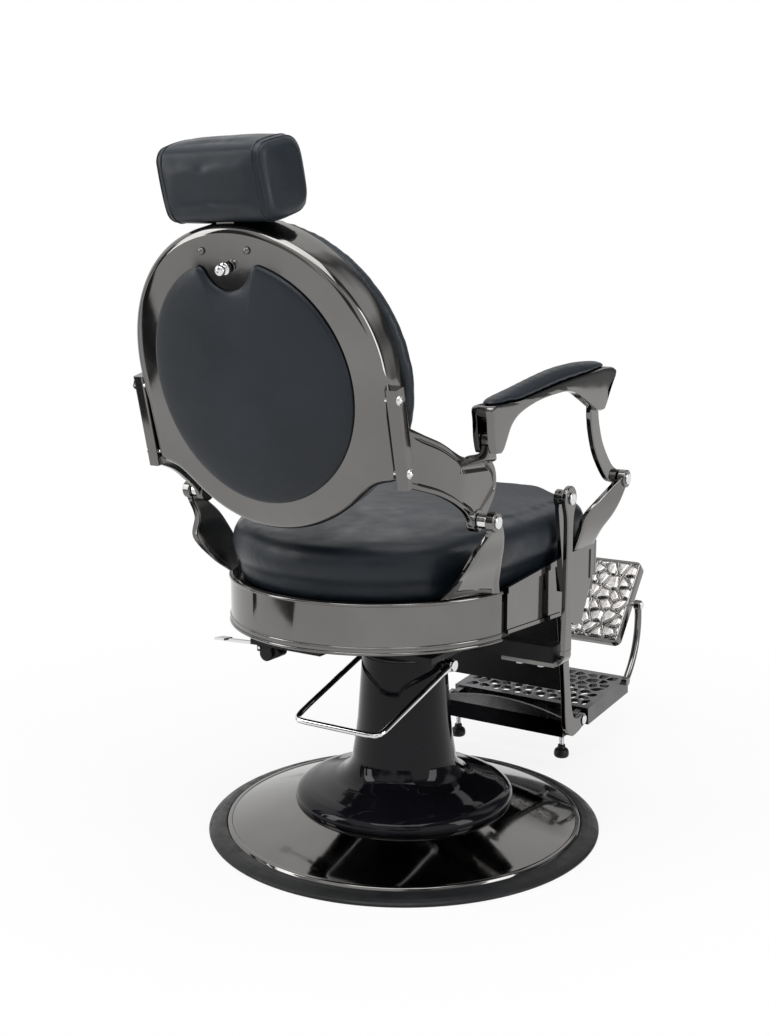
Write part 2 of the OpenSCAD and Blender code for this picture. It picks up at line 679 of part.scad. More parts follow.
// Outline of the shell, drawn in by d: a disc, a little taller than wide, with an ear at each side
module shell_outline(d) {
  r = shell_r - d;
  e = ear_u - d;
  low = ear_low + d;
  f = ear_fillet + d;
  c = shell_z - shell_stretch;
  fx = sqrt(pow(r + f, 2) - pow(c - low + f, 2));
  tangent = [fx, low - f - c] * r / (r + f);
  for (k = [-1, 1]) translate([0, shell_z + k * shell_stretch]) circle(r = r);
  translate([-r, c]) square([2 * r, 2 * shell_stretch]);
  difference() {
    union() {
      translate([-e, low + 8]) square([2 * e, ear_high - low - 8]);
      translate([-e + 8, low]) square([2 * e - 16, 30]);
      for (s = [-1, 1]) translate([s * (e - 8), low + 8]) circle(r = 8);
      for (s = [-1, 1]) polygon([[s * fx, low + 10], [s * fx, low - f], [s * tangent[0], c + tangent[1]],
        [s * (tangent[0] - 20), low + 10]]);
    }
    for (s = [-1, 1]) translate([s * fx, low - f]) circle(r = f);
  }
}

// A plate of the back's outline d, from w0 to w1 along the back's depth
module back_plate(d, w0, w1) translate([0, w1, 0]) rotate([90, 0, 0]) linear_extrude(w1 - w0) shell_outline(d);

// A disc of the back from w0 to w1
module back_disc(r, w0, w1) translate([0, w1, shell_z]) rotate([90, 0, 0]) cylinder(r = r, h = w1 - w0);

// The space before the shell's rear face, at depth w on the middle line
module before_rear(w) translate([0, w - rear_curve_r, 0])
  cylinder(r = rear_curve_r, h = shell_z + 2 * shell_r, $fn = 720);

module back_shell() color(gunmetal) in_back() difference() {
  intersection() {
    back_plate(0, shell_front_w, shell_w + 1);
    before_rear(shell_w);
  }
  intersection() {
    back_plate(shell_t, shell_front_w - 1, shell_w + 1);
    before_rear(shell_w - shell_t);
  }
  translate([-post_w / 2 - 0.6, post_y - post_t / 2 - 0.6, shell_z + shell_r - 30])
    cube([post_w + 1.2, post_t + 1.2, 40]);
  bar_y(0, knob_z, 4.5, shell_w - 10, shell_w + 5);
  for (s = [-1, 1]) bar_y(s * screw_u, screw_z, 3 + bolt_gap, shell_w - 10, shell_w + 5);
  both() wing_bolt_places() bar_x([0, 0], 4 + bolt_gap, -12, 20);
}

// Outline of the rear panel: a disc with a round notch whose lips are rounded
module rear_panel_outline() {
  gap = notch_z - shell_z;
  lip_c = rear_panel_r - notch_lip_r;
  notch_c = notch_r + notch_lip_r;
  along = (lip_c * lip_c - notch_c * notch_c + gap * gap) / (2 * gap);
  across = sqrt(lip_c * lip_c - along * along);
  outer = [across, along] * rear_panel_r / lip_c;
  inner = [across, along - gap] * notch_r / notch_c;
  difference() {
    circle(r = rear_panel_r);
    translate([0, gap]) circle(r = notch_r);
    difference() {
      polygon([[0, gap], [inner[0], gap + inner[1]], [across, along], outer, outer + [6, 26], [-outer[0] - 6, outer[1] + 26],
        [-outer[0], outer[1]], [-across, along], [-inner[0], gap + inner[1]]]);
      for (s = [-1, 1]) translate([s * across, along]) circle(r = notch_lip_r);
    }
  }
}

module rear_panel() color(leather) in_back() difference() {
  intersection() {
    translate([0, shell_w + rear_panel_t + 1, shell_z]) rotate([90, 0, 0])
      linear_extrude(rear_panel_t + 16) scale([panel_narrow, 1]) rear_panel_outline();
    before_rear(shell_w + rear_panel_t);
  }
  before_rear(shell_w + soft_gap / 3);
}

module back_board() color("#2e2a26") in_back()
  back_disc(shell_r - shell_t - soft_gap, shell_front_w + 2, shell_front_w + 14);

module back_cushion() color(leather) in_back() translate([0, shell_front_w + 1.7, shell_z]) rotate([90, 0, 0])
  rotate_extrude() polygon(concat([[0, 0], [shell_r - shell_t - 2, 0], [shell_r - shell_t - 2, 2]],
    arc(shell_r - 17, 14, 16, -30, 78, 8), [[shell_r * 0.6, back_cushion_t - 3], [0, back_cushion_t]]));

// Side view of a wing: from the shell's ear to the two pivots
function wing_outline() = [
  [362, 356], [299, 329], [272, 313], [258, 307], [222, 301], [199, 302], [174, 291], [160, 272], [161, 252],
  [172, 234], [186, 222],
  back_pivot + [-17, 4], back_pivot + [-12, -12], back_pivot + [0, -17], back_pivot + [13, -11],
  back_pivot + [22, 2], [250, 229], [298, 253], [344, 268], [362, 274]];

// Plan view of a wing: along the ear, then turned forward to the arm
function wing_plan(d) = [[ear_u + 10 + d, 362], [wing_in_x + d, 262], [wing_in_x + d, 140], [wing_out_x, 140],
  [wing_out_x, 264], [ear_u + flange_t, 364]];

module wing(s) color(gunmetal) side(s) difference() {
  union() {
    up() intersection() {
      slab_x(ear_u - 10, wing_out_x + 20) polygon(wing_outline());
      translate([0, 0, 150]) linear_extrude(260) polygon(wing_plan(0));
    }
    // Flange screwed to the shell's ear
    in_back() translate([ear_u + 0.2, shell_front_w + flange_w, ear_low - 6]) cube([flange_t, 23, 142]);
    up() bar_x(back_pivot, boss_r + 2, wing_in_x - 4, wing_out_x);
    // Neck that steps out under the armrest's leg, and the lug inside the leg
    up() slab_x(wing_in_x, lug_out_x) polygon([[231, 284], [258, 288], [258, 307], [250, 310.5], [240, 310.5],
      [233, 303]]);
    up() slab_x(lug_in_x, lug_out_x) polygon([arm_pivot + [11, 3], arm_pivot + [-11, 3], [230, 302], [256, 302]]);
    up() bar_x(arm_pivot, 12, lug_in_x, lug_out_x);
  }
  // Sunk field in the outer face
  up() intersection() {
    slab_x(ear_u, wing_out_x + 20) polygon([[346, 339], [296, 317], [258, 301], [224, 296], [202, 291], [182, 280],
      [172, 266], [174, 249], [190, 236], [214, 233], [246, 241], [298, 264], [346, 281]]);
    translate([1.5, 0.5, 150]) linear_extrude(260) polygon(wing_plan(6));
  }
  up() bar_x(back_pivot, link_pin_d / 2 + run_gap, wing_in_x - 10, wing_out_x + 5);
  up() bar_x(arm_pivot, link_pin_d / 2 - 1, lug_in_x - 5, lug_out_x + 5);
  in_back() wing_bolt_places() {
    bar_x([0, 0], 4 + bolt_gap, -12, flange_t + 2);
    bar_x([0, 0], 8, flange_t, flange_t + 20);
  }
  in_back() back_plate(-0.2, shell_front_w - 30, shell_w);
}

// The places of the wing's screws on the ear
module wing_bolt_places() for (z = [16, 122]) translate([ear_u, shell_front_w + flange_w + 14, ear_low + z]) children();

module wing_bolts() color("silver") in_back() both() wing_bolt_places() {
  bar_x([0, 0], 4, -shell_t - 3, flange_t + 1);
  bar_x([0, 0], 7, flange_t + 0.3, flange_t + 4);
}

// Pins of the arms, pressed into the wings
module arm_pivot_pins() color("silver") up() both() {
  bar_x(arm_pivot, link_pin_d / 2 - 1, arm_in_x + 1, arm_in_x + arm_w - 1);
}

module headrest_guide() color("#17181b") in_back() difference() {
  intersection() {
    union() {
    translate([-guide_half_w, post_y - post_t / 2 - 6, post_low]) cube([2 * guide_half_w, 20, shell_z + shell_r - 6 - post_low]);
    translate([-screw_u - 9, shell_w - shell_t - 7, screw_z - 14]) cube([2 * screw_u + 18, 7, 28]);
    translate([-guide_half_w, post_y, knob_z - 30]) cube([2 * guide_half_w, shell_w - shell_t - post_y, 60]);
    }
    before_rear(shell_w - shell_t);
  }
  translate([-post_w / 2 - 0.1, post_y - post_t / 2 - 0.1, post_low - 1]) cube([post_w + 0.2, post_t + 0.2, 300]);
  bar_y(0, knob_z, 4 + run_gap, post_y, shell_w + 5);
  for (s = [-1, 1]) bar_y(s * screw_u, screw_z, 3 + bolt_gap, shell_w - 15, shell_w + 5);
}

module shell_screws() color("silver") in_back() for (s = [-1, 1]) {
  bar_y(s * screw_u, screw_z, 3, shell_w - 10, shell_w + 1);
  bar_y(s * screw_u, screw_z, 5, shell_w - 0.35, shell_w + 2);
}

module headrest_post() color("silver") in_back() translate([-post_w / 2, post_y - post_t / 2, post_low + 10])
  cube([post_w, post_t, headrest_z + 30 - post_low - 10]);

module headrest_cushion() color(leather) in_back() difference() {
  rounding = 26;
  translate([-headrest_l / 2, headrest_rear - headrest_depth, headrest_z]) rotate([90, 0, 90])
    linear_extrude(headrest_l) {
      translate([rounding, 0]) square([headrest_depth - 2 * rounding, headrest_h]);
      translate([0, rounding]) square([headrest_depth, headrest_h - 2 * rounding]);
      for (x = [rounding, headrest_depth - rounding]) for (y = [rounding, headrest_h - rounding])
        translate([x, y]) circle(r = rounding);
    }
  translate([-post_w / 2 - soft_gap, post_y - post_t / 2 - soft_gap, headrest_z - 1])
    cube([post_w + 2 * soft_gap, post_t + 2 * soft_gap, 31 + soft_gap]);
}

module headrest_knob() color("gainsboro") in_back() {
  bar_y(0, knob_z, 4, post_y + post_t / 2 + 0.1, shell_w + 8);
  bar_y(0, knob_z, 9, shell_w + 6, shell_w + 12);
  translate([0, shell_w + 12, knob_z]) sphere(r = 8);
}

// ---------------------------------------------------------------- arms

// Side view of the armrest: rear leg, arched rail and front boss
function arm_outline() = [
  [266, 380], [263, 350], arm_pivot + [15, -8], arm_pivot + [8, -17], arm_pivot + [-7, -18], arm_pivot + [-21, -4],
  [210, 343], [174, 366], [111, 379], [60, 384], [26, 385], [5, 382], [-14, 374], [-50, 362], [-88, 346],
  strut_top + [-5, -11], strut_top + [-11, -4], [-121, 374], [-140, 392], [-157, 404], [-155, 410], [-132, 414],
  [-109, 414], [45, 400], [175, 383], [258, 381]];

module armrest(s) color(gunmetal) side(s) up() {
  slot0 = strut_x - strut_t / 2 - open_gap;
  slot1 = strut_x + strut_t / 2 + open_gap;
  difference() {
    slab_x(arm_in_x, arm_in_x + arm_w) polygon(arm_outline());
    bar_x(arm_pivot, link_pin_d / 2 - 1 + run_gap, arm_x - 30, arm_x + 30);
    // Channel for the wing's lug, open at the rear and below
    slab_x(lug_in_x - 0.8, lug_out_x + 0.8) polygon([[218, 300], [280, 300], [280, 374], [256, 368],
      arm_pivot + [4, 16], arm_pivot + [-12, 10], arm_pivot + [-20, -10]]);
    // The rail's inner side is cut back round the strut's head
    slab_x(arm_in_x - 1, slot0 + 1) polygon([[5, 340], [5, 383], [-50, 384], [-75, 375], [-92, 362], [-97, 340]]);
    // Fork for the strut's head
    slab_x(slot0, slot1) polygon([strut_top + [30, -20], strut_top + [26, 18], strut_top + [-18, 18],
      strut_top + [-40, -20]]);
  }
  bar_x(strut_top, arm_front_pin_r, slot0 - 1, slot1 + 1);
}

// Top line of the armrest under its pad
function pad_line() = [[256, 381], [175, 383], [45, 400], [-107, 413.8], [-131, 414]];

module arm_pad(s) color(leather) side(s) up() {
  line = pad_line();
  rise = [0.35, 0.9, 1.1, 0.75, 0.3] * arm_pad_t;
  round_r = arm_w / 2 - 1;
  intersection() {
    slab_x(arm_x - round_r, arm_x + round_r) polygon(concat(
      [for (i = [0:4]) line[i] + [0, soft_gap]], [for (i = [4:-1:0]) line[i] + [0, rise[i]]]));
    translate([arm_x, 0, line[0][1] - 10]) linear_extrude(100) {
      for (i = [0, 4]) translate([0, line[i][0] - (2 - i) / 2 * round_r]) circle(r = round_r);
      translate([-round_r, line[4][0] + round_r]) square([2 * round_r, line[0][0] - line[4][0] - 2 * round_r]);
    }
  }
}

// Curved front strut from its pivot up into the armrest
module strut(s) color(gunmetal) side(s) up() difference() {
  path = [strut_pivot + [2, 1], strut_pivot + [39, 15], strut_pivot + [61, 34], strut_pivot + [84, 62],
    strut_pivot + [100, 95], strut_top + [0, -4]];
  h = strut_w / 2;
  slab_x(strut_x - strut_t / 2, strut_x + strut_t / 2) {
    polygon(strip(path, [h - 1, h, h, h + 1, h + 1, h]));
    translate(strut_pivot) circle(r = boss_r);
    translate(strut_top) circle(r = strut_w / 2 + 1);
  }
  bar_x(strut_pivot, link_pin_d / 2 + run_gap, strut_x - strut_t, strut_x + strut_t);
  bar_x(strut_top, arm_front_pin_r + open_gap, strut_x - strut_t, strut_x + strut_t);
}

// ---------------------------------------------------------------- leg rest

// Centre line of a leg bar, from its pivot to the foot of its sweep
function leg_line() = [leg_pivot, [-320, -68], [-337, -176], [-350, -270]];

module leg_bar(s) color(gunmetal) side(s) up() difference() {
  h = leg_bar_w / 2;
  slab_x(leg_half_w, leg_half_w + leg_bar_t) {
    translate(leg_pivot) circle(r = 15);
    polygon(strip(leg_line(), [h, h - 1, h, h + 2]));
    // Sweep forward to the platform's knuckle
    translate([-362, -296]) circle(r = 21);
    polygon([[-366, -262], [-384, -281], knuckle + [2, knuckle_r], knuckle + [6, -knuckle_r + 1], [-362, -317],
      [-342, -303], [-337, -262]]);
    translate(knuckle) circle(r = knuckle_r);
  }
  bar_x(leg_pivot, leg_pin_r + run_gap, leg_half_w - 5, leg_half_w + leg_bar_t + 5);
  bar_x(knuckle, leg_pin_r, leg_half_w - 5, leg_half_w + leg_bar_t + 5);
}

// The calf board leans with the leg bars
module in_calf() up() translate([0, -336, -212]) rotate([-5.5, 0, 0]) children();

module calf_board() color("#17181b") in_calf() translate([-leg_half_w + soft_gap, -6, 0])
  cube([2 * leg_half_w - 2 * soft_gap, 12, 178]);

module calf_pad() color(leather) in_calf() translate([0, -6 - soft_gap, 0]) rotate([90, 0, 0]) linear_extrude(calf_pad_t) {
  w = leg_half_w - 8;
  translate([-w, 26]) square([2 * w, 124]);
  translate([-w + 22, 4]) square([2 * w - 44, 168]);
  for (s = [-1, 1]) for (y = [26, 150]) translate([s * (w - 22), y]) circle(r = 22);
}

// The platform's own frame: the origin is its knuckle, and -Y runs forward along the platform
module in_platform() up() translate([0, knuckle[0], knuckle[1]]) rotate([-platform_tilt, 0, 0]) children();

module foot_platform() color("#3c3e42") in_platform() difference() {
  front = -platform_rear - platform_l;
  low = platform_top - platform_h;
  rim = 9;
  union() {
    difference() {
      translate([-platform_half_w, front, low]) cube([2 * platform_half_w, platform_l, platform_h]);
      translate([-platform_half_w + rim, front + rim, low - 1])
        cube([2 * (platform_half_w - rim), platform_l - 2 * rim, platform_h - platform_t + 1]);
      // Irregular pierced cells in the top plate
      translate([0, front + platform_l / 2, platform_top - platform_t - 1]) linear_extrude(platform_t + 2)
        pebbles(2 * (platform_half_w - rim - 4), platform_l - 2 * rim - 8, 11, 7, web_w);
    }
    // Ears that sit inside the leg bars' knuckles
    both() slab_x(leg_half_w - 12, leg_half_w - soft_gap) {
      circle(r = knuckle_r);
      polygon([[0, knuckle_r], [-platform_rear - 2, platform_top - 3], [-platform_rear - 2, low + 4], [0, -knuckle_r]]);
    }
  }
  both() bar_x([0, 0], leg_pin_r, leg_half_w - 20, leg_half_w + 5);
}

module platform_beam() color("#1d1e21") up() difference() {
  w = leg_half_w - soft_gap;
  y0 = foot_pos[1] - 12;
  union() {
    translate([0, -346, 0]) rotate([90, 0, 0]) linear_extrude(6) polygon(concat(
      [[-w, beam_low], [w, beam_low]],
      [for (i = [0:12]) let (x = w * (1 - i / 6)) [x, beam_low + 57 - 20 * pow(x / w, 2)]]));
    translate([-w, y0, beam_low]) cube([2 * w, -346 - y0, 8]);
  }
  for (s = [-1, 1]) translate([s * foot_pos[0], foot_pos[1], beam_low - 1]) cylinder(r = stem_r + run_gap, h = 12);
}

module foot_stems() color("silver") up() for (s = [-1, 1]) translate([s * foot_pos[0], foot_pos[1], beam_low - 30])
  cylinder(r = stem_r, h = 42);

module platform_feet() color("#1b1c1e") up() for (s = [-1, 1]) translate([s * foot_pos[0], foot_pos[1], beam_low - 36])
  rotate_extrude() polygon([[0, -foot_h + 2], [foot_d / 2 - 2, -foot_h + 2], [foot_d / 2, -foot_h + 4], [foot_d / 2, 0],
    [foot_d / 2 - 3, 4], [stem_r + run_gap, 5], [stem_r + run_gap, 5.9], [0, 5.9]]);

// Knuckle bolts of the platform and stub pins of the flip plate
module platform_pins() color("silver") up() both() {
  bar_x(knuckle, leg_pin_r, leg_half_w - 14, leg_half_w + leg_bar_t + 1);
  bar_x(knuckle, leg_pin_r + 3, leg_half_w + leg_bar_t, leg_half_w + leg_bar_t + 3);
  bar_x(flip_pivot, flip_pin_r, flip_half_w - 12, flip_arm_x + 8);
  bar_x(flip_pivot, flip_pin_r + 3, flip_arm_x + 7, flip_arm_x + 10);
}

module flip_arms() color(gunmetal) up() both() difference() {
  arc_r = 148.6;
  arc_c = flip_pivot + [145, -32.3];
  union() {
    translate([flip_arm_x, arc_c[0], arc_c[1]]) rotate([90, 0, 90]) rotate([0, 0, 167.4])
      rotate_extrude(angle = 66, $fn = 96) translate([arc_r, 0]) circle(r = flip_tube_r);
    bar_x(flip_pivot, flip_pin_r + 5, flip_half_w + 8, flip_arm_x + 7);
    bar_x(arc_c + arc_r * [cos(232), sin(232)], 9, platform_half_w, flip_arm_x + 7);
  }
  bar_x(flip_pivot, flip_pin_r, flip_half_w, flip_arm_x + 12);
}

module flip_plate() color("#c9cbce") up() translate([0, flip_pivot[0], flip_pivot[1]]) rotate([-flip_angle, 0, 0]) difference() {
  corner = 14;
  w = flip_half_w;
  l = flip_l / 2;
  union() {
    translate([0, 0, -flip_t / 2]) linear_extrude(flip_t - pebble_h) {
      translate([-w + corner, -l]) square([2 * w - 2 * corner, 2 * l]);
      translate([-w, -l + corner]) square([2 * w, 2 * l - 2 * corner]);
      for (x = [-w + corner, w - corner]) for (y = [-l + corner, l - corner]) translate([x, y]) circle(r = corner);
    }
    translate([0, 0, flip_t / 2 - pebble_h - 1]) linear_extrude(pebble_h + 1)
      pebbles(2 * w - 16, 2 * l - 16, 11, 6, 3);
  }
  both() bar_x([0, 0], flip_pin_r + run_gap, w - 14, w + 5);
}

base_plate();
base_ring();
column_skirt();
pump_cylinder();
pump_head();
base_bolts();
lever_pins();
pump_lever();
piston();
thrust_washer();
chassis();
yoke_arm(1);  // yoke_arm_left
yoke_arm(-1);  // yoke_arm_right
yoke_bolts();
lock_housing();
recline_lever();
seat_ring();
side_panel(1);  // side_panel_left
side_panel(-1);  // side_panel_right
front_apron();
seat_pan();
seat_board();
seat_cushion();
seat_pivot_pins();
rear_bracket(1);  // rear_bracket_left
rear_bracket(-1);  // rear_bracket_right
front_bracket(1);  // front_bracket_left
front_bracket(-1);  // front_bracket_right
bracket_pins();
leg_pivot_pins();
back_shell();
rear_panel();
back_board();
back_cushion();
wing(1);  // wing_left
wing(-1);  // wing_right
wing_bolts();
arm_pivot_pins();
headrest_guide();
shell_screws();
headrest_post();
headrest_cushion();
headrest_knob();
armrest(1);  // armrest_left
armrest(-1);  // armrest_right
arm_pad(1);  // arm_pad_left
arm_pad(-1);  // arm_pad_right
strut(1);  // strut_left
strut(-1);  // strut_right
leg_bar(1);  // leg_bar_left
leg_bar(-1);  // leg_bar_right
calf_board();
calf_pad();
foot_platform();
platform_beam();
platform_pins();
foot_stems();
platform_feet();
flip_arms();
flip_plate();
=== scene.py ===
import bpy, bmesh, math
import numpy as np
from mathutils import Matrix, Vector


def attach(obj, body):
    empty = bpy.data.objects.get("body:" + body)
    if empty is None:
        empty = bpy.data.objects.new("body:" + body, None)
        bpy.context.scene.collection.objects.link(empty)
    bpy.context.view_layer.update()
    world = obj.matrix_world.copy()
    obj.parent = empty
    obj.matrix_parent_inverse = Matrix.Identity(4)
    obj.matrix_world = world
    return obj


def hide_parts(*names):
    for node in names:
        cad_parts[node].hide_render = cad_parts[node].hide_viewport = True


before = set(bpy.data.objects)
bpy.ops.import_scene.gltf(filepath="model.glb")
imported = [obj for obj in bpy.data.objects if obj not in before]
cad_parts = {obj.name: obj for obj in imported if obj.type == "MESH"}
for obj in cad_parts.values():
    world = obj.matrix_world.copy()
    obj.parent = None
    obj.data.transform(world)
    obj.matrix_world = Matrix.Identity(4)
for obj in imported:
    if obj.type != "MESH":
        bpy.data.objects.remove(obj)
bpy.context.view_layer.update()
scene = bpy.context.scene

# ---- Camera and studio
# The camera stands behind the chair on the sitter's right, a little above the seat. The room is a pale floor
# under a white world with three soft lamps. Its grey cards and dark flags show only in polished metal.
camera = bpy.data.objects.new("camera", bpy.data.cameras.new("camera"))
scene.collection.objects.link(camera)
right = Vector((-0.84571278, -0.53363362, 0.00224791))
above = Vector((0.09361946, -0.14422018, 0.98510707))
ahead = Vector((0.52536206, -0.83332808, -0.17192734))
facing = Matrix((right, above, -ahead)).transposed().to_4x4()
camera.matrix_world = Matrix.Translation((-1.21475891, 1.92684778, 0.94818662)) @ facing
camera.data.lens = 47.504
camera.data.sensor_width = camera.data.sensor_height = 36
camera.data.sensor_fit = "AUTO"
camera.data.shift_x = -0.01953
camera.data.shift_y = -0.00577
camera.data.clip_start = 0.02
scene.camera = camera
scene.view_settings.view_transform = "Standard"


def soft_lamp(name, place, aim, width, height, power):
    """A rectangular lamp at place that faces the point aim."""
    lamp = bpy.data.lights.new(name, "AREA")
    lamp.shape = "RECTANGLE"
    lamp.size, lamp.size_y = width, height
    lamp.energy = power
    obj = bpy.data.objects.new(name, lamp)
    scene.collection.objects.link(obj)
    obj.location = place
    obj.rotation_euler = (Vector(aim) - Vector(place)).to_track_quat("-Z", "Y").to_euler()


soft_lamp("lamp_over", (-0.4, 0.9, 3.1), (0, 0, 0.6), 2.4, 2.4, 62)
soft_lamp("lamp_left", (2.6, 2.2, 1.7), (0, 0, 0.7), 1.2, 2.6, 46)
soft_lamp("lamp_right", (-3.2, -0.3, 1.5), (0, 0, 0.6), 1.0, 2.4, 34)


def add(tree, kind, feeds=(), **settings):
    """A new node of a shader tree. Settings go to the node itself; feeds are numbers or other nodes' outputs for
    its inputs."""
    node = tree.nodes.new("ShaderNode" + kind)
    for key, value in settings.items():
        setattr(node, key, value)
    for key, value in dict(feeds).items():
        if isinstance(value, bpy.types.NodeSocket):
            tree.links.new(value, node.inputs[key])
        else:
            node.inputs[key].default_value = value
    return node


def seen_ray(tree):
    """One where a ray comes from the camera, a mirror or through glass, otherwise nothing, and the same for a
    mirror alone."""
    path = add(tree, "LightPath").outputs
    near = add(tree, "Math", {0: path["Is Camera Ray"], 1: path["Is Glossy Ray"]}, operation="MAXIMUM")
    seen = add(tree, "Math", {0: near.outputs[0], 1: path["Is Transmission Ray"]}, operation="MAXIMUM")
    return seen.outputs[0], path["Is Glossy Ray"]


def flat_sheet(name, corners, skin):
    """A flat sheet over four corners."""
    mesh = bpy.data.meshes.new(name)
    mesh.from_pydata(corners, [], [(0, 1, 2, 3)])
    mesh.materials.append(skin)
    sheet = bpy.data.objects.new(name, mesh)
    scene.collection.objects.link(sheet)
    return sheet


white = (1, 1, 1, 1)
world = bpy.data.worlds.new("studio")
scene.world = world
world.use_nodes = True
air = world.node_tree
air.nodes.clear()
seen, mirrored_ray = seen_ray(air)
way = add(air, "Mapping", {"Vector": add(air, "TexCoord").outputs["Generated"], "Scale": (1.6, 1.6, 0.8)})
clouds = add(air, "TexNoise", {"Vector": way.outputs[0], "Scale": 1.15, "Detail": 1.5, "Distortion": 0.6})
cards = add(air, "ValToRGB", {"Fac": clouds.outputs["Fac"]})
for stop, place, tone in zip(cards.color_ramp.elements, (0.40, 0.56), ((0.10, 0.10, 0.105, 1), white)):
    stop.position, stop.color = place, tone
card_air = add(air, "Background", {"Color": cards.outputs["Color"]})
white_air = add(air, "Background", {"Color": white})
room_air = add(air, "Background", {"Color": white, "Strength": 0.42})
seen_air = add(air, "MixShader", {0: mirrored_ray, 1: white_air.outputs[0], 2: card_air.outputs[0]})
both_air = add(air, "MixShader", {0: seen, 1: room_air.outputs[0], 2: seen_air.outputs[0]})
add(air, "OutputWorld", {"Surface": both_air.outputs[0]})

pale = bpy.data.materials.new("pale_floor")
pale.use_nodes = True
tree = pale.node_tree
tree.nodes.clear()
seen, mirrored_ray = seen_ray(tree)
matt = add(tree, "BsdfDiffuse", {"Color": (0.86, 0.86, 0.86, 1)})
glow = add(tree, "Emission")
reach = add(tree, "VectorMath", {0: add(tree, "TexCoord").outputs["Object"]}, operation="LENGTH")
fade = add(tree, "MapRange", {"Value": reach.outputs["Value"], "From Min": 0.45, "From Max": 1.5, "To Min": 0.86,
                              "To Max": 1.0})
share = add(tree, "Math", {0: seen, 1: fade.outputs[0]}, operation="MULTIPLY")
blend = add(tree, "MixShader", {0: share.outputs[0], 1: matt.outputs[0], 2: glow.outputs[0]})
add(tree, "OutputMaterial", {"Surface": blend.outputs[0]})
floor = flat_sheet("floor", [(-9, -9, 0), (9, -9, 0), (9, 9, 0), (-9, 9, 0)], pale)

flag_paint = bpy.data.materials.new("flag_paint")
flag_paint.use_nodes = True
flag_inputs = flag_paint.node_tree.nodes["Principled BSDF"].inputs
flag_inputs["Base Color"].default_value = (0.02, 0.02, 0.022, 1)
flag_inputs["Roughness"].default_value = 0.9
low, top = 0.003, 1.2
flags = {"flag_floor": [(0.95, 1.62, low), (1.8, 1.35, low), (1.95, 2.15, low), (1.15, 2.2, low)],
         "flag_near": [(1.75, 0.62, 0), (1.8, 0.80, 0), (1.8, 0.80, top), (1.75, 0.62, top)],
         "flag_far": [(1.85, 1.25, 0), (1.85, 1.5, 0), (1.85, 1.5, top), (1.85, 1.25, top)]}
for name, corners in flags.items():
    flag = flat_sheet(name, corners, flag_paint)
    flag.visible_camera = flag.visible_diffuse = flag.visible_shadow = False


# ---- Base ring
# The chair stands on a moulded rubber ring. It is pushed over the edge of the base plate from below, its
# top slopes down to the floor, and it is matt black.
def grid(rows, cols, wrap_rows, wrap_cols):
    """Quads between the neighbours of a grid of points, wrapped where the surface closes on itself."""
    i = np.arange(rows if wrap_rows else rows - 1)[:, None]
    j = np.arange(cols if wrap_cols else cols - 1)[None, :]
    i, k, j, l = i + 0 * j, (i + 1) % rows + 0 * j, j + 0 * i, (j + 1) % cols + 0 * i
    return np.stack([i * cols + j, i * cols + l, k * cols + l, k * cols + j], -1).reshape(-1, 4).tolist()


def rings(points, wrap=False, caps=False):
    """A surface over rows of points, each row a closed ring. Caps close the first and the last ring."""
    rows, cols, _ = points.shape
    faces = grid(rows, cols, wrap, True)
    if caps:
        faces += [list(range(cols))[::-1], list(range((rows - 1) * cols, rows * cols))]
    return points.reshape(-1, 3), faces


def joined(*parts):
    """Several surfaces as one."""
    starts = np.cumsum([0] + [len(verts) for verts, _ in parts])
    faces = [[i + int(start) for i in face] for (_, faces), start in zip(parts, starts) for face in faces]
    return np.concatenate([verts for verts, _ in parts]), faces


def turned(line, centre=(0, 0, 0), axis=(0, 0, 1), wrap=False, steps=96):
    """A line of radius and height pairs, turned once round an axis through centre."""
    line = np.asarray(line, float)
    w = np.asarray(axis, float) / np.linalg.norm(axis)
    u = np.cross(w, (0, 1, 0) if abs(w[1]) < 0.9 else (1, 0, 0))
    u /= np.linalg.norm(u)
    t = 2 * np.pi * np.arange(steps)[:, None] / steps
    spoke = np.cos(t) * u + np.sin(t) * np.cross(w, u)
    return rings(np.asarray(centre, float) + line[:, 0, None, None] * spoke + line[:, 1, None, None] * w, wrap)


def rounded(points, radius, closed=False, n=4):
    """A line of straight spans in which each corner gives way to a parabola between points radius away."""
    p = np.asarray(points, float)
    r = np.broadcast_to(radius, len(p))[:, None]
    ends = []
    for q in (np.roll(p, 1, 0), np.roll(p, -1, 0)):
        length = np.linalg.norm(q - p, axis=1, keepdims=True)
        ends.append(p + (q - p) * np.minimum(r / np.maximum(length, 1e-9), 0.499))
    a, b = ends
    if not closed:
        a[0] = b[0] = p[0]
        a[-1] = b[-1] = p[-1]
    t = np.linspace(0, 1, n + 1)[None, :, None]
    curve = (1 - t) ** 2 * a[:, None] + 2 * t * (1 - t) * p[:, None] + t * t * b[:, None]
    curve = curve.reshape(-1, p.shape[1])
    return curve if closed else curve[n:len(curve) - n]


def make(name, part, skin, body, stands_for=(), crisp=38, even=True):
    """The piece as an object, from millimetres: welded, faces outwards, smooth but for edges sharper than crisp
    degrees, and lit evenly where asked."""
    verts, faces = part
    mesh = bpy.data.meshes.new(name)
    mesh.from_pydata((verts / 1000).tolist(), [], faces)
    work = bmesh.new()
    work.from_mesh(mesh)
    bmesh.ops.remove_doubles(work, verts=work.verts, dist=2e-6)
    bmesh.ops.recalc_face_normals(work, faces=work.faces)
    work.to_mesh(mesh)
    work.free()
    mesh.shade_smooth()
    mesh.set_sharp_from_angle(angle=math.radians(crisp))
    mesh.materials.append(skin)
    obj = bpy.data.objects.new(name, mesh)
    scene.collection.objects.link(obj)
    if even:
        light = obj.modifiers.new("even light", "WEIGHTED_NORMAL")
        light.keep_sharp = True
    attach(obj, body)
    if stands_for:
        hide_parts(*stands_for)
    return obj


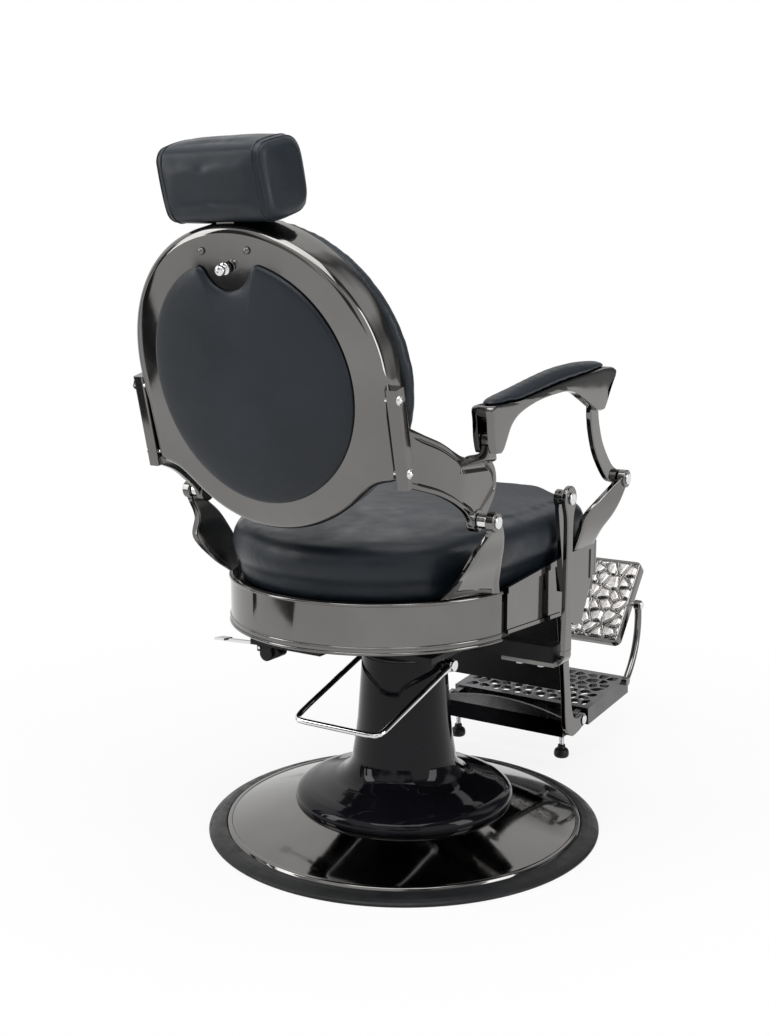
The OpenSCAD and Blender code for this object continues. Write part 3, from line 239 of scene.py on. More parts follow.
def noise(tree, where, scale, detail=4.0, rough=0.55, stretch=None):
    """A noise pattern on the piece's own coordinates."""
    if stretch:
        where = add(tree, "Mapping", {"Vector": where, "Scale": stretch}).outputs[0]
    return add(tree, "TexNoise", {"Vector": where, "Scale": scale, "Detail": detail,
                                  "Roughness": rough}).outputs["Fac"]


def spread(tree, pattern, low, high):
    """The pattern's middle range stretched from low to high."""
    return add(tree, "MapRange", {"Value": pattern, "From Min": 0.3, "From Max": 0.7, "To Min": low,
                                  "To Max": high}).outputs[0]


def surface(name, tone, metal=0.0, gloss=0.4, specular=0.5, patches=0.12, patch_scale=9.0, haze=0.25,
            haze_scale=40.0, relief=0.0, relief_scale=700.0, relief_stretch=None, depth=0.0004):
    """A finish: its tone drifts in patches, its gloss in a finer haze, and its relief is a fine bump."""
    skin = bpy.data.materials.new(name)
    skin.use_nodes = True
    tree = skin.node_tree
    inputs = tree.nodes["Principled BSDF"].inputs
    inputs["Metallic"].default_value = metal
    inputs["Specular IOR Level"].default_value = specular
    where = add(tree, "TexCoord").outputs["Object"]
    drift = spread(tree, noise(tree, where, patch_scale), 0, 1)
    darker = [c * (1 - patches) for c in tone] + [1]
    lighter = [min(1, c * (1 + patches)) for c in tone] + [1]
    mix = add(tree, "Mix", {"A": darker, "B": lighter, "Factor": drift}, data_type="RGBA")
    tree.links.new(mix.outputs["Result"], inputs["Base Color"])
    rough = spread(tree, noise(tree, where, haze_scale, 6.0), gloss * (1 - haze), gloss * (1 + haze))
    tree.links.new(rough, inputs["Roughness"])
    if relief:
        height = noise(tree, where, relief_scale, 3.0, 0.6, relief_stretch)
        bump = add(tree, "Bump", {"Strength": relief, "Distance": depth, "Height": height})
        tree.links.new(bump.outputs[0], inputs["Normal"])
    return skin


rubber = surface("moulded_rubber", (0.010, 0.0105, 0.0115), gloss=0.42, specular=0.25, patches=0.3,
                 patch_scale=14, haze=0.3, relief=0.35, relief_scale=900)
ring_line = rounded([[296, 0], [339, 0], [340, 3.5], [337, 6.5], [330, 10], [321, 12.8], [311, 14], [308.3, 13],
                     [312.3, 9], [312.3, 5], [296, 5]], 1.6, closed=True)
make("floor_ring", turned(ring_line, wrap=True, steps=160), rubber, "base", ["base_ring"])

# ---- Base plate
# A spun steel plate that swells in a low dome up to the column. It is polished and plated dark nickel,
# and its rim is rolled into a narrow bright bead that the rubber ring holds.
nickel = surface("dark_nickel", (0.175, 0.171, 0.165), metal=1.0, gloss=0.075, patches=0.10, patch_scale=5,
                 haze=0.35, haze_scale=26, relief=0.05, relief_scale=26, depth=0.0006)
t = np.linspace(1, 0, 28)
dome_r = 186 + 113 * t
dome_z = 13 + 37 * np.minimum(1, ((308 - dome_r) / 122) ** 0.92)
bead = rounded([[299.5, 17.0], [301.5, 17.3], [306, 16.6], [308.1, 13.2], [311.8, 9], [311.8, 5.2],
                [297, 5.2]], 1.4)
top_line = np.concatenate([[[0, 44], [186, 44]], [[290, 10]], bead[::-1], np.stack([dome_r, dome_z], 1),
                           [[170, 50], [60, 50], [0, 50]]])
make("domed_plate", turned(top_line, steps=192), nickel, "base", ["base_plate"], crisp=50)

# ---- Column skirt
# A spun steel shell over the pump, painted gloss black. Its foot flares into a wide flange with a rolled
# edge that stands on the plate.
lacquer = surface("black_lacquer", (0.005, 0.005, 0.007), gloss=0.06, specular=0.2, patches=0.3, patch_scale=6,
                  haze=0.3, haze_scale=18, relief=0.04, relief_scale=30, depth=0.0005)
a = np.radians(np.linspace(262, 180, 16))
throat_r = 46
throat = np.stack([89 + throat_r + throat_r * np.cos(a), 133 + throat_r * np.sin(a)], 1)
flange = rounded([[188.6, 50.2], [189.6, 55], [189.2, 61], [185, 68], [176.5, 73.5], [163.5, 78], [146.5, 82]],
                 4, n=5)
outside = [[84, 165], [80.5, 195], [77.4, 240], [75, 275], [73, 306]]
inside = [[70, 306], [72, 275], [74.4, 240], [77.5, 195], [81, 165], [86, 135], [95, 105], [128, 82], [160, 74],
          [182, 62], [184, 50.2]]
skirt_line = np.concatenate([[[184, 50.2]], flange, throat, outside, inside])
make("column_cover", turned(skirt_line, steps=144), lacquer, "base", ["column_skirt"])

# ---- Pump
# A steel cylinder bolted through the plate, with an iron collar at its top and a ground piston that carries
# the swivel. The skirt hides all but the piston's end.
iron = surface("cast_iron", (0.12, 0.12, 0.125), metal=0.6, gloss=0.5, patches=0.3, relief=0.6,
               relief_scale=420)
steel = surface("ground_steel", (0.5, 0.51, 0.53), metal=1.0, gloss=0.22, patches=0.1, relief=0.25,
                relief_scale=300, relief_stretch=(1, 1, 18))
brass = surface("washer_bronze", (0.45, 0.33, 0.14), metal=1.0, gloss=0.35, patches=0.2)


def dress(skin, *names):
    """Gives solids that keep their own shape their finish."""
    for name in names:
        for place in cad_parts[name].material_slots:
            place.material = skin


dress(iron, "pump_cylinder", "pump_head")
dress(steel, "piston", "base_bolts", "yoke_bolts")
dress(brass, "thrust_washer")

# ---- Pump lever
# One steel rod bent into a loop and plated bright. Each end is flattened into an eye that turns on a headed
# pin in the pump's collar, and the barber treads on the crossbar.
chrome = surface("bright_chrome", (0.72, 0.72, 0.73), metal=1.0, gloss=0.06, patches=0.05, haze=0.4,
                 haze_scale=60)


def smooth_line(points, per=8, closed=False):
    """Points on a smooth curve through the given ones, each span a cubic set by its four nearest points."""
    p = np.asarray(points, float)
    if closed:
        a, b, c, d = (np.roll(p, k, 0)[:, None] for k in (1, 0, -1, -2))
    else:
        e = np.concatenate([[2 * p[0] - p[1]], p, [2 * p[-1] - p[-2]]])
        a, b, c, d = e[:-3, None], e[1:-2, None], e[2:-1, None], e[3:, None]
    t = (np.arange(per) / per)[None, :, None]
    line = 0.5 * (2 * b + (c - a) * t + (2 * a - 5 * b + 4 * c - d) * t ** 2
                  + (3 * b - a - 3 * c + d) * t ** 3)
    line = line.reshape(-1, p.shape[1])
    return line if closed else np.concatenate([line, p[-1:]])


def round_bar(path, radius, flat=(0, 0, 1), sides=20):
    """A round section carried along a path, square to it, with one spoke always square to the line flat."""
    path = np.asarray(path, float)
    step = np.gradient(path, axis=0)
    step /= np.linalg.norm(step, axis=1, keepdims=True)
    out = np.cross(step, np.asarray(flat, float))
    out /= np.linalg.norm(out, axis=1, keepdims=True)
    up = np.cross(out, step)
    t = 2 * np.pi * np.arange(sides) / sides
    r = np.broadcast_to(radius, len(path))[:, None, None]
    spokes = out[:, None] * np.cos(t)[None, :, None] + up[:, None] * np.sin(t)[None, :, None]
    return rings(path[:, None] + r * spokes, caps=True)


def drum(pin, x0, x1, radius, edge=1.0, steps=40):
    """A short round bar along X with rounded ends. Pin is its axis in Y and Z."""
    line = rounded([[0, x0], [radius, x0], [radius, x1], [0, x1]], edge, n=4)
    return turned(line, (0, *pin), (1, 0, 0), steps=steps)


def mirrored(part):
    """The part and its twin on the other side of the chair."""
    return joined(part, (part[0] * (-1, 1, 1), part[1]))


lever_pin, reach, fall = (-12, 293), 220, 0.29
x, out, down = np.array([(85.5, 0.02, 0.02), (85.5, 0.2, 0.2), (84.3, 0.8, 0.8), (83, 0.985, 1), (60, 1, 1)]).T
corners = np.stack([x, lever_pin[0] + reach * out, lever_pin[1] - reach * fall * down], 1)
half = np.concatenate([corners[:2], rounded(corners[2:], 26, n=10)])
loop = np.concatenate([half, (half * (-1, 1, 1))[::-1]])
rod = round_bar(loop, 4.9, flat=(0, fall, 1), sides=24)
eyes = mirrored(joined(drum(lever_pin, 80, 91, 11, 1.6),
                       round_bar([[85.5, -8, 291.8], [85.5, 4, 288.5], [85.5, 16, 285]], [7.5, 6.3, 4.9])))
make("tread_lever", joined(rod, eyes), chrome, "pump_lever", ["pump_lever"])
pins = mirrored(joined(drum(lever_pin, 52, 92.2, 6), drum(lever_pin, 91.1, 94.6, 10, 1.4)))
make("lever_pin_heads", pins, chrome, "base", ["lever_pins"])

# ---- Chassis and recline lock
# A welded steel frame, painted satin black, turns on the piston. Its cross beam carries the side bars, and
# the housing of the recline lock hangs under it at the sitter's left.
frame_paint = surface("frame_paint", (0.006, 0.006, 0.007), gloss=0.40, specular=0.22, patches=0.3,
                      patch_scale=20, haze=0.25, relief=0.2, relief_scale=350)
dress(frame_paint, "chassis", "seat_pan", "headrest_guide", "calf_board", "seat_board")


def plate(outline, x0, x1, edge=2.0, n=3):
    """A flat outline in Y and Z from x0 to x1, drawn in at both faces along a quarter circle of radius edge."""
    o = np.asarray(outline, float)
    if np.sum(o[:, 0] * np.roll(o[:, 1], -1) - o[:, 1] * np.roll(o[:, 0], -1)) < 0:
        o = o[::-1]
    step = np.roll(o, -1, 0) - np.roll(o, 1, 0)
    step /= np.maximum(np.linalg.norm(step, axis=1, keepdims=True), 1e-9)
    outward = np.stack([step[:, 1], -step[:, 0]], 1)
    q = np.linspace(0, np.pi / 2, n + 1)
    inset = edge * (1 - np.sin(np.concatenate([q, q[::-1]])))
    x = np.concatenate([x0 + edge * (1 - np.cos(q)), x1 - edge * (1 - np.cos(q[::-1]))])
    flat = o[None] - inset[:, None, None] * outward[None]
    return rings(np.concatenate([np.broadcast_to(x[:, None, None], (len(x), len(o), 1)), flat], 2), caps=True)


def bar_y(x, z, y0, y1, radius, edge=1.0):
    """A round bar along Y with rounded ends."""
    line = rounded([[0, y0], [radius, y0], [radius, y1], [0, y1]], edge, n=4)
    return turned(line, (x, 0, z), (0, 1, 0), steps=36)


body_side, rear_cheek, front_cheek = (
    rounded([[y0, 313], [y1, 313], [y1, 327], [y0, 327]], radius, closed=True)
    for y0, y1, radius in ((114, 152, 3), (114, 126.8, 2), (139.2, 152, 2)))
cheeks = joined(plate(rear_cheek, 188, 202, 1.6), plate(front_cheek, 188, 202, 1.6))
housing = joined(plate(body_side, 172, 190, 2), cheeks, bar_y(184.5, 310, 115, 151, 13, 2.5),
                 bar_y(169, 313, 121, 145, 9, 2))
make("lock_casing", housing, frame_paint, "chassis", ["lock_housing"])
dress(chrome, "recline_lever", "leg_pivot_pins")
dress(nickel, "headrest_post")

# ---- Side bars
# Flat steel bars, polished and plated dark, stand on bolts under the beam and rise outside the seat to an
# eye that holds the seat's pivot pin.
unit = [[0, 0], [1, 0], [1, 1], [0, 1]]
square = rounded(unit, 0.16, closed=True, n=4)


def blade(sections, per=6, ring=square):
    """A solid through a row of four-cornered sections. The corners run on smooth curves from one section to
    the next, and ring gives the section's own outline as shares (across, up) of its two sides."""
    c = smooth_line(np.asarray(sections, float).reshape(len(sections), 12), per).reshape(-1, 4, 3)[:, None]
    a, b = (np.asarray(ring, float)[..., k] for k in (0, 1))
    a, b = (np.broadcast_to(q, (len(c), q.shape[-1]))[..., None] for q in (a, b))
    return rings((1 - a) * (1 - b) * c[:, :, 0] + a * (1 - b) * c[:, :, 1] + a * b * c[:, :, 2]
                 + (1 - a) * b * c[:, :, 3], caps=True)


def pair(name, part, skin, body, stands_for, crisp=38):
    """A piece on the left and its mirror image on the right. A name that ends in _ takes the side."""
    for side, sign in (("left", 1), ("right", -1)):
        rides = body + side if body.endswith("_") else body
        make(name + side, (part[0] * (sign, 1, 1), part[1]), skin, rides, [stands_for + side], crisp)


seat_pin, eye_r = (-72, 588), 21
front_edge = [[-85, 332], [-85.5, 340], [-84, 380], [-82.5, 450], [-82, 520], [-83.5, 556], [-90, 576]]
rear_edge = [[-54, 576], [-60.5, 556], [-62, 520], [-61.5, 450], [-60, 380], [-58.5, 340], [-59, 332]]
a = np.radians(np.linspace(205, -25, 22))
eye = np.stack([seat_pin[0] + eye_r * np.cos(a), seat_pin[1] + eye_r * np.sin(a)], 1)
bar_outline = np.concatenate([smooth_line(front_edge, 5), eye, smooth_line(rear_edge, 5)])
a = np.radians(np.linspace(0, 90, 7))[:, None]
outer, inner = 22.3, 13.7
bend_x, bend_z = 252.5 + np.cos(a) * (outer, inner), 327.3 - np.sin(a) * (outer, inner)
bend_y = np.array([-85, -59]) + np.sin(a) * (-7, 7)
foot = [(275, 266, 350, 350, -84.5, -59), *np.hstack([bend_x, bend_z, bend_y]), (161, 161, 305, 313.4, -92, -52)]
foot = blade([[(out, y0, low), (out, y1, low), (inn, y1, high), (inn, y0, high)]
              for out, inn, low, high, y0, y1 in foot], 3, rounded(unit, 0.1, closed=True, n=3))
pair("side_bar_", joined(plate(bar_outline, 266, 275, 2), foot), nickel, "chassis", "yoke_arm_")
pins = joined(drum(seat_pin, 251, 276, 7), drum(seat_pin, 275.3, 279.2, 10, 1.6))
make("seat_pin_heads", mirrored(pins), chrome, "seat", ["seat_pivot_pins"])

# ---- Seat ring, side panels and front
# A band of polished steel, plated dark, is rolled to a half circle with a bead at each edge. Framed flat
# panels run on from it past a slot, and a curved panel closes the front between two round posts.
ring_y, band_r = 71, 249
start = np.degrees(math.asin(38 / band_r))
t = np.radians(np.linspace(start, 180 - start, 120))


def half_round(z, radius, count):
    """A bead's outline on the band: half a circle about height z, from below to above."""
    b = np.linspace(0, np.pi, count)
    return np.stack([band_r + radius * np.sin(b), z - radius * np.cos(b)], 1)


band = np.concatenate([
    [[245.5, 386.2], [248, 386]], half_round(388.8, 2.6, 9), [[band_r, 393]], half_round(397.6, 2.1, 7),
    [[band_r, 403], [band_r, 458]], half_round(463.4, 2.8, 9), [[248.4, 466.8], [245.5, 467]]])


def swept(line, t, centre_y):
    """A line of radius and height pairs, carried through the angles t round an upright axis at centre_y."""
    return np.stack([line[None, :, 0] * np.cos(t)[:, None], centre_y + line[None, :, 0] * np.sin(t)[:, None],
                     line[None, :, 1] + 0 * t[:, None]], 2)


make("rolled_band", rings(swept(band, t, ring_y), caps=True), nickel, "seat", ["seat_ring"], crisp=60)
dress(nickel, "side_panel_left", "side_panel_right")
post_x, front_r = 238.2, 444.5
half_sweep = math.asin(post_x / front_r)
t = -np.pi / 2 + np.linspace(-half_sweep, half_sweep, 70)
lip = rounded([[441, 400], [front_r, 400], [front_r, 491], [441, 491]], 1.2, closed=True)
sheet = rings(swept(lip, t, 132.5), caps=True)
post = turned(rounded([[0, 433], [11, 433], [11, 491], [0, 491]], 1.5), (post_x, -230.5, 0), steps=36)
make("front_panel", joined(sheet, mirrored(post)), nickel, "seat", ["front_apron"])
ply = surface("plywood", (0.16, 0.10, 0.055), gloss=0.6, patches=0.25, patch_scale=12, relief=0.3,
              relief_scale=80, relief_stretch=(1, 12, 1))
dress(ply, "back_board")

# ---- Link brackets
# Castings screwed to the seat's rim, polished and plated dark. Each is a blade that sweeps outward to a boss
# for a pressed pin: the rear pair carries the back, the front pair the struts.
rear_sections = [
    [(244, 120, 466.5), (250, 122, 466.5), (201, 222, 466.5), (196, 218, 466.5)],
    [(247, 132, 486), (256, 135, 486), (226, 236, 486), (219, 230, 486)],
    [(257, 146, 520), (267, 148, 520), (258, 246, 520), (248, 242, 520)],
    [(268, 162, 551), (279.5, 164, 551), (270, 227, 551), (259.5, 225, 551)],
    [(278, 186, 576), (289, 184, 576), (286.5, 222, 576), (276.5, 221, 576)],
    [(279.2, 200, 594), (292.6, 200, 594), (292.6, 226, 594), (279.2, 226, 594)]]
front_sections = [
    [(247, -207, 490.5), (257, -207, 490.5), (256, -131, 490.5), (246.5, -131, 490.5)],
    [(266, -196, 519), (276, -196, 519), (266, -131, 520), (256, -131, 520)],
    [(285, -195, 547), (296, -196, 547), (276, -131, 550), (266, -131, 550)],
    [(296.8, -201, 573), (308, -200, 573), (289, -146, 573), (280, -146, 573)],
    [(297.4, -224, 604), (310.6, -224, 604), (309, -201, 610), (297.4, -201, 610)]]
back_pin, strut_pin = (213, 594), (-215, 606)
pair("rear_link_", joined(blade(rear_sections), drum(back_pin, 279.2, 293, 15, 1.6, 48)), nickel, "seat",
     "rear_bracket_", 50)
pair("front_link_", joined(blade(front_sections), drum(strut_pin, 297.2, 311, 15, 1.6, 48)), nickel, "seat",
     "front_bracket_", 50)
pins = joined(drum(back_pin, 250.2, 292, 7), drum(back_pin, 262.4, 278.7, 11, 2),
              drum(back_pin, 292.6, 296, 9.5, 1.4), drum(strut_pin, 282, 310, 7),
              drum(strut_pin, 310.6, 314, 9.5, 1.4))
make("link_pins", mirrored(pins), chrome, "seat", ["bracket_pins"])

# ---- Back shell
# A pressed steel pan, a little taller than wide, with a squared ear low on each side. Its rear face curves
# gently across, the edge is rolled over, and the whole is polished and plated dark.
lean = math.radians(14.7)


def leaned(part):
    """From the back's own frame (across, to the rear, up the back) to the chair's."""
    u, w, v = part[0].T
    c, s = math.cos(lean), math.sin(lean)
    return np.stack([u, back_pin[0] + c * w + s * v, back_pin[1] - s * w + c * v], 1), part[1]


def arc(cx, cy, radius, start, end, count):
    """Points on an arc, angles in degrees."""
    a = np.radians(np.linspace(start, end, count))
    return np.stack([cx + radius * np.cos(a), cy + radius * np.sin(a)], 1)


def whole(half):
    """A closed outline from its right half, which runs from the bottom to the top."""
    return np.concatenate([half, (half * (-1, 1))[::-1][1:-1]])


def drawn_in(outline, inset):
    """Closed rings at several distances inside an outline that runs anticlockwise."""
    step = np.roll(outline, -1, 0) - np.roll(outline, 1, 0)
    step /= np.maximum(np.linalg.norm(step, axis=1, keepdims=True), 1e-9)
    return outline[None] - np.asarray(inset, float)[:, None, None] * np.stack([step[:, 1], -step[:, 0]], 1)[None]


def dished(outline, rows, centre, bow=0.0):
    """Rings of an outline in the back's frame. Each row gives a share of the way out from the centre, an
    inset and a depth; bow is the radius to which the depth curves across the back."""
    share, inset, depth = np.asarray(rows, float).T
    flat = centre + share[:, None, None] * (drawn_in(outline, inset) - centre)
    w = depth[:, None] + 0 * flat[..., 0]
    if bow:
        w = w - flat[..., 0] ** 2 / (2 * bow) * np.clip((depth[:, None] - 95) / 36, 0, 1)
    return rings(np.stack([flat[..., 0], w, flat[..., 1]], 2))


ear = smooth_line([(147.2, 75), (163, 88), (177, 97), (192, 102), (205, 104.5), (213.5, 110), (216.8, 121),
                   (217, 140), (217, 160), (217, 180), (217, 202)], 5)
low_z, high_z, shell_r, across_r = 238.5, 248.5, 220, 1700
middle = np.array([0, (low_z + high_z) / 2])
shell_edge = whole(np.concatenate([arc(0, low_z, shell_r, -90, -49, 40), ear[:-1],
                                   arc(0, low_z, shell_r, -9.5, 0, 10)[:-1], arc(0, high_z, shell_r, 0, 90, 80)]))
roll = np.linspace(0, np.pi / 2, 8)
shell_rows = ([(k, 10, 139.6) for k in (0, 0.4, 0.8, 0.97)]
              + [(1, 8, 138.5), (1, 4, 134), (1, 3.2, 128), (1, 3, 90), (1, 2.8, 84.6), (1, 1.7, 83),
                 (1, 0.4, 83.4), (1, 0, 85), (1, 0, 100), (1, 0, 116)]
              + [(1, 12 * (1 - math.cos(q)), 131 + 12 * math.sin(q)) for q in roll]
              + [(k, 12, 143) for k in (0.96, 0.9, 0.8, 0.66, 0.5, 0.3, 0.12, 0)])
make("back_pan", leaned(dished(shell_edge, shell_rows, middle, across_r)), nickel, "back", ["back_shell"],
     crisp=60, even=False)
screw = [[0, 147.3], [2.4, 147.1], [4.2, 146.2], [5.2, 144.4], [5.4, 142.5], [0, 142.5]]
heads = joined(*[turned(screw, (x, 0, 434.5), (0, 1, 0), steps=28) for x in (-39.5, 39.5)])
make("pan_screws", leaned(heads), nickel, "back", ["shell_screws"])
knob = rounded([[0, 132], [4.2, 132], [4.2, 146.8], [8.6, 147.2], [8.8, 150], [5, 151.5], [4.8, 153], [7.2, 155],
                [8.1, 158.5], [6.6, 162], [3, 163.7], [0, 164]], 1.2)
make("headrest_screw", leaned(turned(knob, (0, 0, 411), (0, 1, 0), steps=48)), chrome, "headrest_knob",
     ["headrest_knob"])

# ---- Wings
# A casting on each side is screwed to the shell's ear, turns forward and ends in the back's pivot. Its outer
# face has a sunk field inside a raised border, and a neck at its top steps out into the armrest's leg.
top_edge = [(362, 742), (332, 729), (300, 715.5), (274, 700), (256, 692), (222, 687), (200, 687), (180, 681),
            (165, 667), (160, 648), (165, 628), (178, 612), (190, 600), (199, 590)]
low_edge = [(362, 659), (338, 652), (306, 642), (280, 630), (262, 619), (250, 611), (243, 605), (239, 601),
            (236, 598), (233, 594), (231, 590), (228, 586), (224, 582), (219, 579)]


def bent(y):
    """How far the wing's plate stands inboard of its front part: nothing, then a steady slope to the rear."""
    past = y - 262
    return 0.265 * (np.sqrt(past ** 2 + 120) + past) / 2


wing_sections = [[(253 - bent(b[0]), *b), (262 - bent(b[0]), *b), (262 - bent(t[0]), *t), (253 - bent(t[0]), *t)]
                 for t, b in zip(top_edge, low_edge)]
face = np.array([
    (0.2, 0), (0.8, 0), (0.96, 0.01), (1, 0.03), (1, 0.085), (0.95, 0.097), (0.72, 0.105), (0.70, 0.118),
    (0.84, 0.135), (0.86, 0.16), (0.86, 0.84), (0.84, 0.865), (0.70, 0.882), (0.72, 0.895), (0.95, 0.903),
    (1, 0.915), (1, 0.97), (0.96, 0.99), (0.8, 1), (0.2, 1), (0.04, 0.99), (0, 0.97), (0, 0.03), (0.04, 0.01)])
plain = face.copy()
plain[3:17, 0] = 1
per = 6
rows = (len(wing_sections) - 1) * per + 1
s = np.arange(rows) / per
sunk = np.clip((s - 0.35) / 0.25, 0, 1) * np.clip((9.6 - s) / 0.8, 0, 1)
wing_ring = plain[None] + sunk[:, None, None] * (face - plain)[None]
wing = blade(wing_sections, per, wing_ring)
block = [[(217.3, w + 22, v), (236.2, w + 22, v), (236.2, w, v), (217.3, w, v)]
         for w, v in ((110.5, 98), (109, 128), (107.5, 168), (106, 210), (105, 240))]
neck = [[(253, 262, 668), (262, 262, 668), (262, 184, 664), (253, 184, 664)],
        [(253, 262, 680), (262, 262, 678), (262, 194, 674), (253, 194, 676)],
        [(256, 260, 688), (280, 259, 684), (280, 208, 680), (256, 206, 684)],
        [(264, 257, 694), (296, 256.5, 690), (296, 222, 687), (264, 220, 691)],
        [(283, 255.5, 699), (299.5, 255.5, 697), (299.5, 230, 696), (283, 230, 698)],
        [(286.6, 254, 710), (299.8, 254, 710), (299.8, 232, 710), (286.6, 232, 710)]]
arm_pin = (243, 718)
lug = joined(blade(neck, 5), drum(arm_pin, 286.6, 299.8, 12, 1.5))
casting = joined(wing, leaned(blade(block, 4)), drum(back_pin, 249.2, 262, 17, 1.5, 48), lug)
pair("wing_casting_", casting, nickel, "back", "wing_", 50)
dome = [[0, 241], [2.6, 240.7], [4.6, 239.6], [5.8, 238], [6, 237], [7.2, 236.9], [7.2, 236.2], [0, 236.2]]
shank = rounded([[0, 211], [4, 211], [4, 237], [0, 237]], 0.5)
heads = joined(*[turned(line, (0, 123, v), (1, 0, 0), steps=steps)
                 for line, steps in ((dome, 32), (shank, 20)) for v in (120, 226)])
make("wing_screw_heads", leaned(mirrored(heads)), chrome, "back", ["wing_bolts"])

# ---- Armrests
# An arched casting, polished and plated dark: a hollow rear leg that takes the wing's lug, a slim rail, and a
# front lug forked for the strut's head. Headed pins pass through both ends.
rear_top = [(252, 699.5), (256.5, 707), (261, 722), (264, 745), (266.5, 763.5), (249, 767.3), (214, 768),
            (175, 769.5), (125, 776), (75, 782.5), (30, 787.4), (-10, 791.2), (-50, 794.8), (-85, 798),
            (-109, 800), (-132, 800), (-155, 796), (-157, 789), (-148, 782), (-140, 777)]
arch = [(236, 699), (228, 704), (219, 716), (207, 733), (192, 744), (172, 752.5), (143, 760), (111, 765.6),
        (60, 770), (26, 771), (-5, 766.5), (-30, 756.5), (-50, 748), (-73, 738), (-90, 732), (-112, 731),
        (-117.5, 737), (-119.5, 748), (-121, 760), (-129, 769)]
per = 6
outer_line, inner_line = (smooth_line(q, per) for q in (rear_top, arch))
s = np.arange(len(outer_line)) / per
height = np.linalg.norm(outer_line - inner_line, axis=1)
fork = np.interp(s, (9.8, 10.6, 13, 15.6, 16.6, 17.2), (0, 11, 27, 27, 14, 0)) / height
channel = np.interp(s, (0, 1, 2, 2.6, 3, 3.5, 4.3), (15.2, 27.5, 33, 30, 14, 5, 0)) / height
lift = np.interp(s, (8.8, 11, 13.4, 14.6, 15.4), (0, 17, 22, 16, 0)) / height
one = np.ones(len(s))
low = np.stack([lift + 0.12, lift + 0.03, lift + 0.0, np.minimum(lift, fork), fork, fork, 0 * one, 0 * one,
                0.03 * one, 0.12 * one], 1)
high = np.stack([0.88 * one, 0.97 * one, one, one, 1 - channel, 1 - channel, one, one, 0.97 * one, 0.88 * one], 1)
up = np.concatenate([low, high], 1)
across = np.array([0, 0.025, 0.11, 0.232, 0.236, 0.62, 0.624, 0.89, 0.975, 1, 1, 0.975, 0.89, 0.712, 0.708, 0.278,
                   0.274, 0.11, 0.025, 0])
x = 276 + 35 * across[None, :] + 0 * s[:, None]
yz = inner_line[:, None] + up[:, :, None] * (outer_line - inner_line)[:, None]
rail = rings(np.concatenate([x[..., None], yz], 2), caps=True)
head_pin = (-107, 742)
rail = joined(rail, drum(head_pin, 283, 299, 5, 0.6))
pair("arm_casting_", rail, nickel, "arm_", "armrest_", 42)
make("arm_pins", mirrored(drum(arm_pin, 276.6, 310.4, 6)), nickel, "back", ["arm_pivot_pins"])

# ---- Front struts
# Flat steel bars cut to a curve and rounded at the edges, polished and plated dark. The lower eye turns on
# the front bracket's pin, and the head sits in the armrest's fork.
def strap(path, half_width, x0, x1, per=6, edge=2.2):
    """A flat bar between x0 and x1 whose middle line follows a path in Y and Z, with its half width at each
    point of the path."""
    path = np.asarray(path, float)
    step = np.gradient(path, axis=0)
    step /= np.linalg.norm(step, axis=1, keepdims=True)
    side = np.stack([-step[:, 1], step[:, 0]], 1) * np.asarray(half_width, float)[:, None]
    a, b = path - side, path + side
    size = (x1 - x0, np.mean(half_width) * 2)
    ring = rounded(np.array(unit) * size, edge, closed=True, n=4) / size
    return blade([[(x0, *p), (x1, *p), (x1, *q), (x0, *q)] for p, q in zip(a, b)], per, ring)


strut_line = [(-212, 607), (-195, 613), (-176, 621), (-154, 640), (-130, 668), (-114, 702), (-108, 728),
              (-107, 740)]
strut = joined(strap(strut_line, [11, 12.5, 14, 14.5, 15, 15, 14.5, 13], 286, 296),
               drum(strut_pin, 286, 296, 15, 2, 48), drum(head_pin, 286.2, 295.8, 14.5, 2, 48))
pair("arm_strut_", strut, nickel, "strut_", "strut_", 50)

# ---- Leg rest bars
# Flat steel bars hang from the seat's lugs and sweep forward at the foot to the platform's knuckles. They
# are polished and plated dark.
bar_line = [(-305, 384), (-309, 360), (-320, 318), (-330, 258), (-338, 205), (-345, 160), (-350, 128),
            (-358, 103), (-374, 91), (-395, 90), (-414, 93.5)]
leg_pin, knuckle = (-305, 380), (-417, 94)
bar = joined(strap(bar_line, [11, 12, 12, 11.8, 12.2, 13, 15, 18, 18, 14.5, 12.5], 139.2, 149, edge=2),
             drum(leg_pin, 139.2, 149, 15, 1.8, 48), drum(knuckle, 139.2, 149, 13, 1.8, 48))
pair("leg_strap_", bar, nickel, "leg_rest", "leg_bar_", 50)

# ---- Foot platform
# A cast platform with a deep rim, its top pierced by irregular cells. It hangs between the leg bars on
# knuckle bolts and stands on two threaded stems with rubber feet under a folded cross beam.
grating = surface("cast_grating", (0.10, 0.10, 0.105), metal=1.0, gloss=0.22, patches=0.2, patch_scale=30,
                  haze=0.3, haze_scale=60, relief=0.06, relief_scale=120)
dress(grating, "foot_platform")
beam_tones = surface("beam_finish", (0.13, 0.13, 0.135), metal=1.0, gloss=0.25, patches=0.15, patch_scale=12)
tree = beam_tones.node_tree
# Below 109 mm the beam's colour drops to near black; above that line it keeps the drifting metal tone.
height = add(tree, "SeparateXYZ", {0: tree.nodes["Texture Coordinate"].outputs["Object"]}).outputs["Z"]
above_line = add(tree, "Math", {0: height, 1: 0.109}, operation="GREATER_THAN")
tones = add(tree, "Mix", {"Factor": above_line.outputs[0], "A": (0.005, 0.005, 0.006, 1),
                          "B": tree.nodes["Mix"].outputs["Result"]}, data_type="RGBA")
tree.links.new(tones.outputs["Result"], tree.nodes["Principled BSDF"].inputs["Base Color"])
dress(beam_tones, "platform_beam")
plate_pin = (-655, 275)
bolts = joined(drum(knuckle, 125, 149.5, 6), drum(knuckle, 149.2, 152, 9, 1.2), drum(plate_pin, 130.5, 164, 5),
               drum(plate_pin, 163.6, 166.6, 8, 1.2))
make("knuckle_bolts", mirrored(bolts), chrome, "leg_rest", ["platform_pins"])
turn = np.arange(0, 27)
